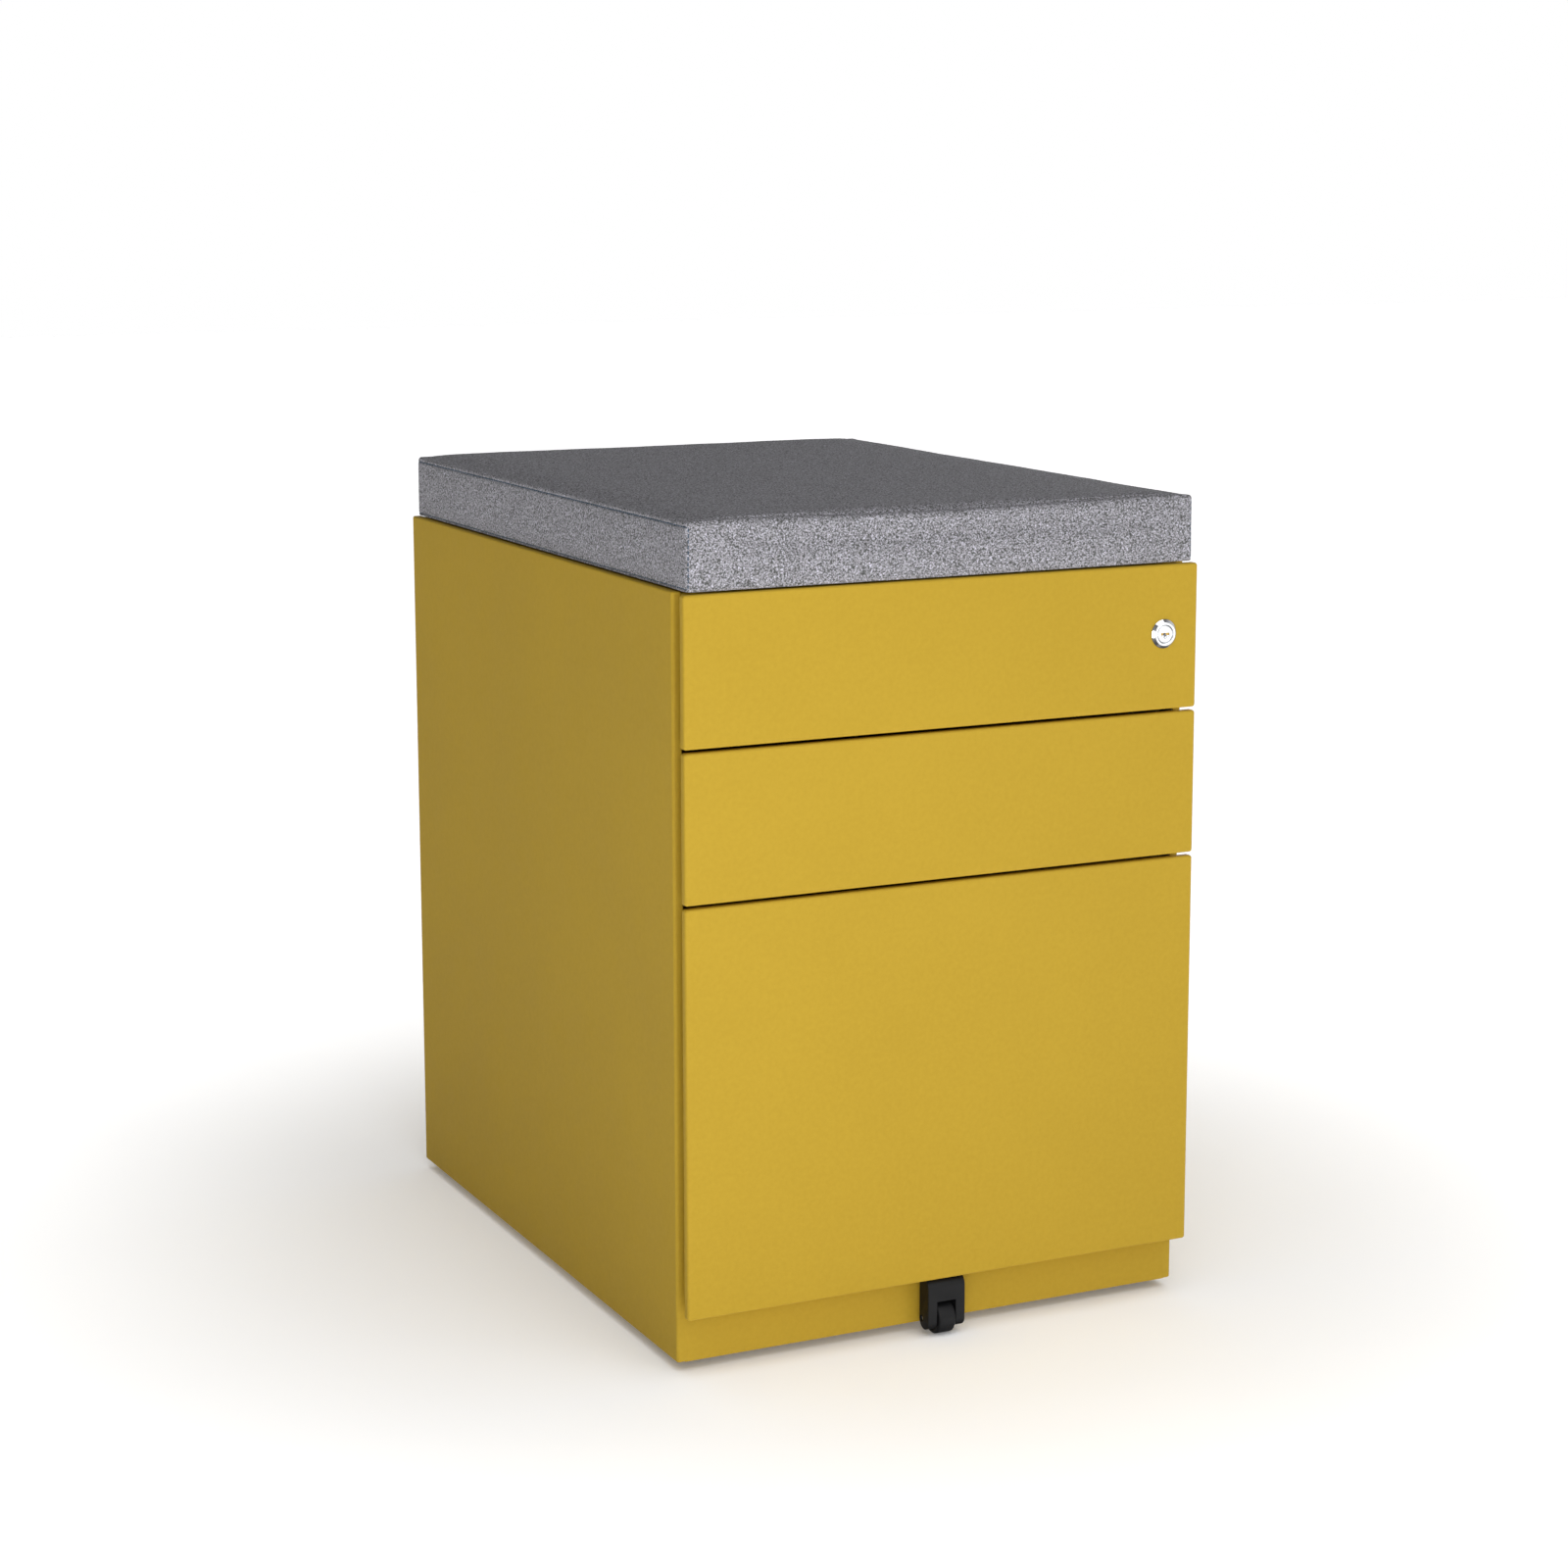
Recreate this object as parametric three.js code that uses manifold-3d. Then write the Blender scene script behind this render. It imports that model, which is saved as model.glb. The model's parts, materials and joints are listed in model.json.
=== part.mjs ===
// Mobile filing pedestal: a folded steel carcass on castors with three handleless drawers, a cam lock,
// an anti-tip wheel under the file drawer and an upholstered seat cushion on top.
// Millimetres, +Z up, the drawers face -Y, the floor is z = 0 and x = 0 is the middle of the width.
import * as THREE from "three";
import { mergeVertices } from "three/addons/utils/BufferGeometryUtils.js";
import Module from "manifold-3d";

const wasm = await Module();
wasm.setup();

// ---------------------------------------------------------------- driving dimensions
const WIDTH = 420;
const CARCASS_DEPTH = 545;
const CARCASS_BOTTOM = 8;
const CARCASS_TOP = 572;
const SHEET = 1; // steel sheet thickness
const GAP = 0.3; // air between pieces that touch or are welded
const FLANGE = 7; // width of the folded edges round the side panels
const CORNER_R = 2.3; // bend radius of the carcass's vertical edges
const TOP_EDGE_R = 1.5; // bend radius along the carcass's top edges

const FRONT_PROUD = 20; // the drawer fronts stand this far in front of the carcass
const FRONT_LIP = 6; // depth of the lip folded back round each drawer front
const FRONT_EDGE_R = 1.8;
const FRONT_CORNER_R = 2.2;
const FRONT_TOP = 571.5;
const FRONT_SPACING = 2.5; // visible gap between two drawer fronts
const INNER_PAN_HALF = 193; // the pan behind a front stops here and leaves a finger pull each side

const PLINTH_TOP = 46;
const PLINTH_RETURN = 18;
const TOP_FOLD = 14;
const BACK_FOLD = 9;
const UPRIGHT_WIDTH = 40;
const TRAY_HALF = 190;
const TRAY_REAR_Y = 235;
const TRAY_HEM = 5; // inward fold along the top of a tray's sides
const SLIDE_LENGTH = 480;
const SLIDE_DEPTH = 12.4; // from the tray's side to the upright

const LOCK_X = 181;
const LOCK_Z = 519.7;
const LOCK_PROUD = 2.5;
const LOCK_HEAD_R = 11;
const LOCK_FACE_R = 8.8;
const LOCK_BARREL_R = 7.75;
const LOCK_PLUG_R = 6.6;
const CAM_REACH = 22.4;
const CAM_HALF_WIDTH = 5;
const LOCK_TRAVEL = 12; // the lock bar drops this far while the key turns 90 degrees

const CASTOR_X = 168;
const CASTOR_FRONT_Y = -214;
const CASTOR_REAR_Y = 236;
const CASTOR_WHEEL_R = 15;
const CASTOR_WHEEL_WIDTH = 14;
const CASTOR_TRAIL = 12;

const TIP_WHEEL_X = 2; // the anti-tip wheel sits a little right of the middle
const TIP_WHEEL_R = 13;
const TIP_WHEEL_WIDTH = 14.4;
const TIP_HOUSING_WIDTH = 31;
const TIP_HOUSING_DEPTH = 14;

const CUSHION_TOP = 623.5;
const CUSHION_HALF_WIDTH = 208;
const CUSHION_EDGE_R = 5;
const BOARD_INSET = 8; // the plywood board stops this far inside the cushion's sides
const BOARD_THICKNESS = 9;

// The drawers from the top down: front height, tray lift above the front's bottom edge, tray height,
// slide centre above the tray's bottom, and half the slide's height.
const DRAWERS = [
  { name: "drawer_1", front: 109, lift: 4, tray: 40, slideAt: 16, slideHalf: 17.5 },
  { name: "drawer_2", front: 109, lift: 4, tray: 60, slideAt: 16, slideHalf: 17.5 },
  { name: "drawer_3", front: 302.5, lift: 8, tray: 250, slideAt: 126, slideHalf: 22.5 },
];

// ---------------------------------------------------------------- derived levels
const HALF = WIDTH / 2;
const FRONT_Y = -(CARCASS_DEPTH + FRONT_PROUD) / 2;
const FACE_Y = FRONT_Y + FRONT_PROUD;
const BACK_Y = FACE_Y + CARCASS_DEPTH;
const OPENING_HALF = HALF - FLANGE;
const PAN_BACK_Y = FACE_Y - 0.7;
const TRAY_FRONT_Y = PAN_BACK_Y + GAP;
const SLIDE_FRONT_Y = FACE_Y + 4.5;
const BASE_Z = PLINTH_TOP + GAP;
const TOP_PANEL_Z = CARCASS_TOP - SHEET - GAP;
const MAT_BOTTOM = TOP_PANEL_Z + GAP;
const MAT_TOP = MAT_BOTTOM + 3;
const CUSHION_BOTTOM = MAT_TOP + GAP;
const CUSHION_FRONT_Y = FRONT_Y + 0.5;
const CUSHION_BACK_Y = BACK_Y - 3;

let frontTop = FRONT_TOP;
for (const drawer of DRAWERS) {
  drawer.z1 = frontTop;
  drawer.z0 = frontTop - drawer.front;
  drawer.trayZ0 = drawer.z0 + drawer.lift;
  drawer.trayZ1 = drawer.trayZ0 + drawer.tray;
  drawer.slideZ = drawer.trayZ0 + drawer.slideAt;
  drawer.catchZ = drawer.slideZ + drawer.slideHalf + 3;
  frontTop = drawer.z0 - FRONT_SPACING;
}

// ---------------------------------------------------------------- finishes
const finish = (color, roughness, metalness) => () =>
  new THREE.MeshStandardMaterial({ color, roughness, metalness });
const yellowPaint = finish(0xc8a63c, 0.5, 0.0);
const zincSteel = finish(0xb9bcc0, 0.35, 0.9);
const chrome = finish(0xdfe2e6, 0.12, 1.0);
const blackPlastic = finish(0x1b1b1c, 0.55, 0.0);
const greyTread = finish(0x2b2b2d, 0.7, 0.0);
const greyFabric = finish(0x8f8d97, 0.95, 0.0);
const plywood = finish(0xc9a878, 0.7, 0.0);
const rubberMat = finish(0x303033, 0.9, 0.0);

// ---------------------------------------------------------------- solid helpers
function solid(geometry) {
  geometry.deleteAttribute("normal");
  geometry.deleteAttribute("uv");
  const merged = mergeVertices(geometry, 1e-4);
  return new wasm.Manifold(new wasm.Mesh({
    numProp: 3,
    vertProperties: new Float32Array(merged.attributes.position.array),
    triVerts: new Uint32Array(merged.index.array),
  }));
}

function box(x0, x1, y0, y1, z0, z1) {
  const geometry = new THREE.BoxGeometry(x1 - x0, y1 - y0, z1 - z0);
  geometry.translate((x0 + x1) / 2, (y0 + y1) / 2, (z0 + z1) / 2);
  return solid(geometry);
}

// A shape drawn in (y, z), (x, z) or (x, y) and extruded along the named axis.
const X = new THREE.Vector3(1, 0, 0);
const Y = new THREE.Vector3(0, 1, 0);
const Z = new THREE.Vector3(0, 0, 1);
const EXTRUDE_FRAME = {
  x: new THREE.Matrix4().makeBasis(Y, Z, X),
  y: new THREE.Matrix4().makeBasis(X, Z, Y.clone().negate()),
  z: new THREE.Matrix4(),
};

function prism(axis, shape, from, to, bevel = 0, bevelSegments = 3) {
  const geometry = new THREE.ExtrudeGeometry(shape, {
    depth: to - from - 2 * bevel,
    bevelEnabled: bevel > 0,
    bevelThickness: bevel,
    bevelSize: bevel,
    bevelOffset: -bevel,
    bevelSegments,
    curveSegments: 2,
  });
  const start = axis === "y" ? -to : from;
  geometry.translate(0, 0, start + bevel);
  geometry.applyMatrix4(EXTRUDE_FRAME[axis]);
  return solid(geometry);
}

function roundedRect(u0, u1, v0, v1, radius) {
  const shape = new THREE.Shape();
  shape.absarc(u1 - radius, v1 - radius, radius, 0, Math.PI / 2, false);
  shape.absarc(u0 + radius, v1 - radius, radius, Math.PI / 2, Math.PI, false);
  shape.absarc(u0 + radius, v0 + radius, radius, Math.PI, Math.PI * 1.5, false);
  shape.absarc(u1 - radius, v0 + radius, radius, Math.PI * 1.5, Math.PI * 2, false);
  shape.closePath();
  return shape;
}

function polygon(points) {
  return new THREE.Shape(points.map(([u, v]) => new THREE.Vector2(u, v)));
}

// Turns a geometry made along Y to lie along the named axis.
function alongAxis(geometry, axis) {
  if (axis === "x") {
    geometry.rotateZ(-Math.PI / 2);
  }
  if (axis === "z") {
    geometry.rotateX(Math.PI / 2);
  }
  return geometry;
}

function rod(axis, radius, from, to, centre, segments = 24) {
  const geometry = new THREE.CylinderGeometry(radius, radius, to - from, segments);
  geometry.translate(0, (from + to) / 2, 0);
  alongAxis(geometry, axis).translate(...centre);
  return solid(geometry);
}

// A ring-like body turned from a closed profile of [radius, height] points.
function turned(axis, profile, centre, segments = 24) {
  const points = [...profile, profile[0]].map(([r, h]) => new THREE.Vector2(r, h));
  const geometry = new THREE.LatheGeometry(points, segments);
  alongAxis(geometry, axis).translate(...centre);
  return solid(geometry);
}

const union = (first, ...others) => others.reduce((body, other) => body.add(other), first);
const mirrorX = (body, side) => (side < 0 ? body.mirror([1, 0, 0]) : body);

const pedestal = new THREE.Group();

function addNode(name, material, body, group = pedestal) {
  const { vertProperties, triVerts } = body.getMesh();
  const geometry = new THREE.BufferGeometry();
  geometry.setAttribute("position", new THREE.BufferAttribute(vertProperties, 3));
  geometry.setIndex(new THREE.BufferAttribute(triVerts, 1));
  const mesh = new THREE.Mesh(geometry, material());
  mesh.name = name;
  group.add(mesh);
}

// ---------------------------------------------------------------- carcass
// Side panel: one sheet folded inwards along all four edges.
function sidePanel(side) {
  const outline = roundedRect(HALF - 30, HALF, FACE_Y, BACK_Y, CORNER_R);
  const slab = prism("z", outline, CARCASS_BOTTOM, CARCASS_TOP, TOP_EDGE_R);
  const hollow = box(
    0, HALF - SHEET, FACE_Y + SHEET, BACK_Y - SHEET, CARCASS_BOTTOM + SHEET, CARCASS_TOP - SHEET,
  );
  const inside = box(0, OPENING_HALF, FACE_Y - 1, BACK_Y + 1, 0, CARCASS_TOP + 1);
  return mirrorX(slab.subtract(hollow).subtract(inside), side);
}

// Top panel: fits between the side panels' edges and folds down at the front and back.
function topPanel() {
  const half = OPENING_HALF - GAP;
  const profile = roundedRect(FACE_Y, BACK_Y, TOP_PANEL_Z - 40, TOP_PANEL_Z, TOP_EDGE_R);
  const block = prism("x", profile, -half, half);
  const hollow = box(
    -HALF, HALF, FACE_Y + SHEET, BACK_Y - SHEET, 0, TOP_PANEL_Z - SHEET,
  );
  const below = box(-HALF, HALF, FACE_Y - 1, BACK_Y + 1, 0, TOP_PANEL_Z - TOP_FOLD);
  return block.subtract(hollow).subtract(below);
}

// Back panel: set inside the rear edges, with a fold all round that meets the sides.
function backPanel() {
  const half = HALF - SHEET - GAP;
  const y1 = BACK_Y - SHEET - GAP;
  const z0 = CARCASS_BOTTOM + SHEET + GAP;
  const z1 = TOP_PANEL_Z - SHEET - GAP;
  const block = box(-half, half, y1 - BACK_FOLD, y1, z0, z1);
  const hollow = box(
    -half + SHEET, half - SHEET, y1 - BACK_FOLD - 1, y1 - SHEET, z0 + SHEET, z1 - SHEET,
  );
  return block.subtract(hollow);
}

function basePan() {
  const half = HALF - SHEET - GAP;
  const rear = BACK_Y - SHEET - GAP - SHEET - GAP;
  const pan = box(-half, half, FACE_Y + SHEET + GAP, rear, BASE_Z, BASE_Z + SHEET);
  const reliefs = [-1, 1].map((side) => box(
    ...[side * (half - 1.3), side * (half + 1)].sort((a, b) => a - b),
    rear - BACK_FOLD - 0.5, rear + 1, BASE_Z - 1, BASE_Z + SHEET + 1,
  ));
  return reliefs.reduce((body, relief) => body.subtract(relief), pan);
}

// Plinth: closes the base at the front; a notch lets the anti-tip wheel roll in under it.
function frontPlinth() {
  const half = OPENING_HALF - GAP;
  const block = box(
    -half, half, FACE_Y, FACE_Y + PLINTH_RETURN, CARCASS_BOTTOM, PLINTH_TOP,
  );
  const hollow = box(
    -HALF, HALF, FACE_Y + SHEET, FACE_Y + PLINTH_RETURN + 1, CARCASS_BOTTOM + SHEET,
    PLINTH_TOP - SHEET,
  );
  const bottomTrim = box(-HALF, HALF, FACE_Y + PLINTH_RETURN / 2, BACK_Y, 0, PLINTH_TOP - 2 * SHEET);
  const notchHalf = TIP_WHEEL_WIDTH / 2 + 2.8;
  const notch = prism("y", roundedRect(
    TIP_WHEEL_X - notchHalf, TIP_WHEEL_X + notchHalf, -10, 2 * TIP_WHEEL_R + 3, 3,
  ), FACE_Y - 1, FACE_Y + 12);
  return block.subtract(hollow).subtract(bottomTrim).subtract(notch);
}

// Upright: a channel spot welded to the side panel, which carries the drawer slides.
function upright(side, y0) {
  const x1 = HALF - SHEET - GAP;
  const z0 = BASE_Z + SHEET + GAP;
  const z1 = TOP_PANEL_Z - SHEET - GAP;
  const y1 = y0 + UPRIGHT_WIDTH;
  const block = box(OPENING_HALF, x1, y0, y1, z0, z1);
  const hollow = box(OPENING_HALF + SHEET, x1 + 1, y0 + SHEET, y1 - SHEET, z0 - 1, z1 + 1);
  return mirrorX(block.subtract(hollow), side);
}

addNode("left_side_panel", yellowPaint, sidePanel(-1));
addNode("right_side_panel", yellowPaint, sidePanel(1));
addNode("top_panel", yellowPaint, topPanel());
addNode("back_panel", yellowPaint, backPanel());
addNode("base_pan", yellowPaint, basePan());
addNode("front_plinth", yellowPaint, frontPlinth());

const SIDES = [["left", -1], ["right", 1]];
const UPRIGHT_FRONT_Y = FACE_Y + 24;
const UPRIGHT_REAR_Y = 170;
for (const [sideName, side] of SIDES) {
  addNode(`${sideName}_front_upright`, zincSteel, upright(side, UPRIGHT_FRONT_Y));
  addNode(`${sideName}_rear_upright`, zincSteel, upright(side, UPRIGHT_REAR_Y));
}

// ---------------------------------------------------------------- drawer slides
// A channel of sheet steel along Y: its web stands at webX and its flanges reach to flangeX.
function channel(webX, flangeX, centreZ, halfHeight, y0, y1) {
  const wall = 1.2;
  const inward = Math.sign(flangeX - webX);
  const x = (value) => webX + inward * value;
  const span = (a, b) => [Math.min(a, b), Math.max(a, b)];
  const block = box(...span(webX, flangeX), y0, y1, centreZ - halfHeight, centreZ + halfHeight);
  const hollow = box(
    ...span(x(wall), flangeX + inward), y0 - 1, y1 + 1,
    centreZ - halfHeight + wall, centreZ + halfHeight - wall,
  );
  return block.subtract(hollow);
}

const SLIDE_OUTER_X = OPENING_HALF - GAP;
const SLIDE_INNER_X = SLIDE_OUTER_X - SLIDE_DEPTH;
const SLIDE_END_Y = SLIDE_FRONT_Y + SLIDE_LENGTH;
const BALL_TRACK = 3; // space for the balls between two slide members

// Middle member of the full-extension slide: a web with flanges to both sides.
function middleMember(centreZ, halfHeight, y0, y1) {
  const wall = 1.2;
  const x0 = SLIDE_INNER_X + 2.6;
  const x1 = SLIDE_OUTER_X - 2.2;
  const webX = (x0 + x1) / 2;
  const web = box(webX - wall / 2, webX + wall / 2, y0, y1, centreZ - halfHeight, centreZ + halfHeight);
  const top = box(x0, x1, y0, y1, centreZ + halfHeight - wall, centreZ + halfHeight);
  const bottom = box(x0, x1, y0, y1, centreZ - halfHeight, centreZ - halfHeight + wall);
  return union(web, top, bottom);
}

for (const drawer of DRAWERS) {
  const fullExtension = drawer.name === "drawer_3";
  const { slideZ, slideHalf } = drawer;
  const y0 = SLIDE_FRONT_Y;
  const y1 = SLIDE_END_Y;
  const outer = channel(SLIDE_OUTER_X, SLIDE_INNER_X + 1.5, slideZ, slideHalf, y0, y1);
  const step = BALL_TRACK + 1.2;
  const innerHalf = slideHalf - (fullExtension ? 2 : 1) * step;
  const innerReach = SLIDE_OUTER_X - (fullExtension ? 7 : 2.6);
  const inner = channel(SLIDE_INNER_X, innerReach, slideZ, innerHalf, y0 + 1, y1 - 3);
  const middle = middleMember(slideZ, slideHalf - step, y0 + 2, y1 - 2);
  for (const [sideName, side] of SIDES) {
    const prefix = `${drawer.name}_${sideName}_slide`;
    addNode(`${prefix}_outer`, zincSteel, mirrorX(outer, side));
    addNode(`${prefix}_inner`, zincSteel, mirrorX(inner, side));
    if (fullExtension) {
      addNode(`${prefix}_middle`, zincSteel, mirrorX(middle, side));
    }
  }
}

// ---------------------------------------------------------------- drawers
const LOCK_HOLE = rod("y", LOCK_BARREL_R + GAP, FRONT_Y - 5, FACE_Y + 5, [LOCK_X, 0, LOCK_Z]);

// Front: a pan with rounded edges whose lip is folded back all round.
function drawerFront({ z0, z1 }) {
  const back = FRONT_Y + FRONT_LIP;
  const outline = roundedRect(-HALF, HALF, z0, z1, FRONT_CORNER_R);
  const block = prism("y", outline, FRONT_Y, back + 10, FRONT_EDGE_R);
  const behind = box(-HALF - 1, HALF + 1, back, back + 20, z0 - 1, z1 + 1);
  const hollowOutline = roundedRect(
    -HALF + SHEET, HALF - SHEET, z0 + SHEET, z1 - SHEET, FRONT_CORNER_R - SHEET,
  );
  const hollow = prism("y", hollowOutline, FRONT_Y + SHEET, back + 20, FRONT_EDGE_R - SHEET, 2);
  return block.subtract(hollow).subtract(behind);
}

// Inner pan: stiffens the front and joins it to the tray; open towards the front.
function innerPan({ z0, z1 }) {
  const y0 = FRONT_Y + SHEET + GAP;
  const inset = SHEET + 2;
  const block = box(-INNER_PAN_HALF, INNER_PAN_HALF, y0, PAN_BACK_Y, z0 + inset, z1 - inset);
  const hollow = box(
    -INNER_PAN_HALF + SHEET, INNER_PAN_HALF - SHEET, y0 - 1, PAN_BACK_Y - SHEET,
    z0 + inset + SHEET, z1 - inset - SHEET,
  );
  return block.subtract(hollow);
}

// Tray: folded sheet with hemmed sides, and the catch that the lock bar's hook holds.
function tray({ trayZ0, trayZ1, catchZ }) {
  const block = box(-TRAY_HALF, TRAY_HALF, TRAY_FRONT_Y, TRAY_REAR_Y, trayZ0, trayZ1);
  const inner = TRAY_HALF - SHEET;
  const hollow = box(
    -inner, inner, TRAY_FRONT_Y + SHEET, TRAY_REAR_Y - SHEET, trayZ0 + SHEET, trayZ1 - SHEET,
  );
  const mouth = box(
    -inner + TRAY_HEM, inner - TRAY_HEM, TRAY_FRONT_Y + SHEET, TRAY_REAR_Y - SHEET,
    trayZ1 - 2 * SHEET, trayZ1 + 1,
  );
  const catchTab = box(
    TRAY_HALF - SHEET / 2, OPENING_HALF - 2.5, FACE_Y + 8.5, FACE_Y + 10.5, catchZ, catchZ + 8,
  );
  return union(block.subtract(hollow).subtract(mouth), catchTab);
}

for (const drawer of DRAWERS) {
  const lockable = drawer.name === "drawer_1";
  const front = drawerFront(drawer);
  const pan = innerPan(drawer);
  addNode(`${drawer.name}_front`, yellowPaint, lockable ? front.subtract(LOCK_HOLE) : front);
  addNode(`${drawer.name}_inner_pan`, yellowPaint, lockable ? pan.subtract(LOCK_HOLE) : pan);
  addNode(`${drawer.name}_tray`, yellowPaint, tray(drawer));
}

// File rails: hanging files ride on these two bars along the file drawer's sides.
const FILE_DRAWER = DRAWERS[2];
const FILE_RAIL_X = 165;
for (const [sideName, side] of SIDES) {
  const rail = box(
    FILE_RAIL_X - 1, FILE_RAIL_X + 1, TRAY_FRONT_Y + SHEET + GAP, TRAY_REAR_Y - SHEET - GAP,
    FILE_DRAWER.trayZ1 - 12, FILE_DRAWER.trayZ1,
  );
  addNode(`file_rail_${sideName}`, zincSteel, mirrorX(rail, side));
}

// ---------------------------------------------------------------- lock
const LOCK_CENTRE = [LOCK_X, 0, LOCK_Z];
const LOCK_FRONT_Y = FRONT_Y - LOCK_PROUD;
const BARREL_END_Y = FACE_Y + 3.2;
const CAM_Y0 = BARREL_END_Y + GAP;
const CAM_THICKNESS = 2;
const PLUG_TAIL_R = 3;
const KEY_SLOT_HALF = 3.7;
const KEY_SLOT_DEPTH = 14;
const KEY_THICKNESS = 1.6;
const KEY_BULGE_R = 1.8;
const NUT_R = 11;

function lockHousing() {
  const bore = LOCK_PLUG_R + 0.25;
  return turned("y", [
    [bore, LOCK_FRONT_Y],
    [LOCK_FACE_R, LOCK_FRONT_Y],
    [LOCK_HEAD_R, FRONT_Y - GAP - 0.6],
    [LOCK_HEAD_R, FRONT_Y - GAP],
    [LOCK_BARREL_R, FRONT_Y - GAP],
    [LOCK_BARREL_R, BARREL_END_Y],
    [bore, BARREL_END_Y],
  ], LOCK_CENTRE, 32);
}

function lockNut() {
  const hexagon = rod("y", NUT_R, PAN_BACK_Y + GAP, BARREL_END_Y - 0.4, LOCK_CENTRE, 6);
  return hexagon.subtract(rod("y", LOCK_BARREL_R + GAP, FRONT_Y, BACK_Y, LOCK_CENTRE, 32));
}

// Plug: carries the key slot in front and a tail behind that turns the cam.
function lockPlug() {
  const body = rod("y", LOCK_PLUG_R, LOCK_FRONT_Y + 0.3, BARREL_END_Y, LOCK_CENTRE, 32);
  const tail = rod("y", PLUG_TAIL_R, BARREL_END_Y - 1, CAM_Y0 + CAM_THICKNESS + GAP, LOCK_CENTRE, 16);
  const head = rod(
    "y", PLUG_TAIL_R + 2, CAM_Y0 + CAM_THICKNESS + GAP, CAM_Y0 + CAM_THICKNESS + 2.3, LOCK_CENTRE, 16,
  );
  const slot = box(
    LOCK_X - KEY_SLOT_HALF, LOCK_X + KEY_SLOT_HALF, LOCK_FRONT_Y - 1, LOCK_FRONT_Y + KEY_SLOT_DEPTH,
    LOCK_Z - KEY_THICKNESS / 2, LOCK_Z + KEY_THICKNESS / 2,
  );
  const bulge = rod(
    "y", KEY_BULGE_R, LOCK_FRONT_Y - 1, LOCK_FRONT_Y + KEY_SLOT_DEPTH, LOCK_CENTRE, 12,
  );
  return union(body, tail, head).subtract(slot).subtract(bulge);
}

// Cam: points up while the drawers are free and to the right when they are locked.
function lockCam() {
  const y1 = CAM_Y0 + CAM_THICKNESS;
  const hub = rod("y", 8, CAM_Y0, y1, LOCK_CENTRE, 24);
  const arm = box(
    LOCK_X - CAM_HALF_WIDTH, LOCK_X + CAM_HALF_WIDTH, CAM_Y0, y1, LOCK_Z, LOCK_Z + CAM_REACH,
  );
  return union(hub, arm).subtract(rod("y", PLUG_TAIL_R + GAP, FACE_Y, BACK_Y, LOCK_CENTRE, 16));
}

addNode("lock_housing", chrome, lockHousing());
addNode("lock_nut", zincSteel, lockNut());
addNode("lock_plug", chrome, lockPlug());
addNode("lock_cam", zincSteel, lockCam());

// Lock bar: a strip that slides down behind the carcass's front edge, with a tab that the cam
// pushes and one hook for each drawer's catch.
const BAR_X0 = OPENING_HALF + 1.3;
const BAR_X1 = BAR_X0 + 2;
const BAR_Y0 = FACE_Y + 3.5;
const BAR_Y1 = FACE_Y + 16.5;
const BAR_BOTTOM = 62;
const BAR_TOP = 548;
const GUIDE_HEIGHT = 18;
const HOOK_HEIGHT = 8;

function lockBar() {
  const strip = box(BAR_X0, BAR_X1, BAR_Y0, BAR_Y1, BAR_BOTTOM, BAR_TOP);
  const tabTop = LOCK_Z - CAM_HALF_WIDTH - 0.5 + LOCK_TRAVEL;
  const tab = box(BAR_X0 - 7, BAR_X1, FACE_Y + 1.6, FACE_Y + 8, tabTop - 2, tabTop);
  const hooks = DRAWERS.map(({ catchZ }) => box(
    BAR_X0 - 12, BAR_X1, FACE_Y + 5, FACE_Y + 7, catchZ + 10, catchZ + 10 + HOOK_HEIGHT,
  ));
  return union(strip, tab, ...hooks);
}

function lockBarGuide(z0) {
  const x1 = HALF - SHEET - GAP;
  const y0 = BAR_Y0 - 1.5;
  const y1 = BAR_Y1 + 1.5;
  const block = box(OPENING_HALF, x1, y0, y1, z0, z0 + GUIDE_HEIGHT);
  const hollow = box(
    OPENING_HALF + SHEET, x1 + 1, y0 + SHEET, y1 - SHEET, z0 - 1, z0 + GUIDE_HEIGHT + 1,
  );
  return block.subtract(hollow);
}

addNode("lock_bar", zincSteel, lockBar());
addNode("lock_bar_guide_lower", zincSteel, lockBarGuide(110));
addNode("lock_bar_guide_upper", zincSteel, lockBarGuide(445));

// ---------------------------------------------------------------- castors
const PLATE_Z0 = BASE_Z - GAP - 2;
const PLATE_HALF = 22;
const KINGPIN_R = 4;
const FORK_CROWN_Z = 33.3;
const FORK_HUB_R = 9;
const FORK_WALL = 2;
const CASTOR_AXLE_R = 2.5;

// Each castor is drawn round its own kingpin, with the wheel trailing towards +Y.
function castorPlate() {
  const outline = roundedRect(-PLATE_HALF, PLATE_HALF, -PLATE_HALF, PLATE_HALF, 4);
  const plate = prism("z", outline, PLATE_Z0, PLATE_Z0 + 2);
  const kingpin = rod("z", KINGPIN_R, FORK_CROWN_Z - 1, PLATE_Z0 + 1, [0, 0, 0], 16);
  const rivetHead = rod("z", KINGPIN_R + 2.2, FORK_CROWN_Z - 2.1, FORK_CROWN_Z - GAP, [0, 0, 0], 16);
  return union(plate, kingpin, rivetHead);
}

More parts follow.
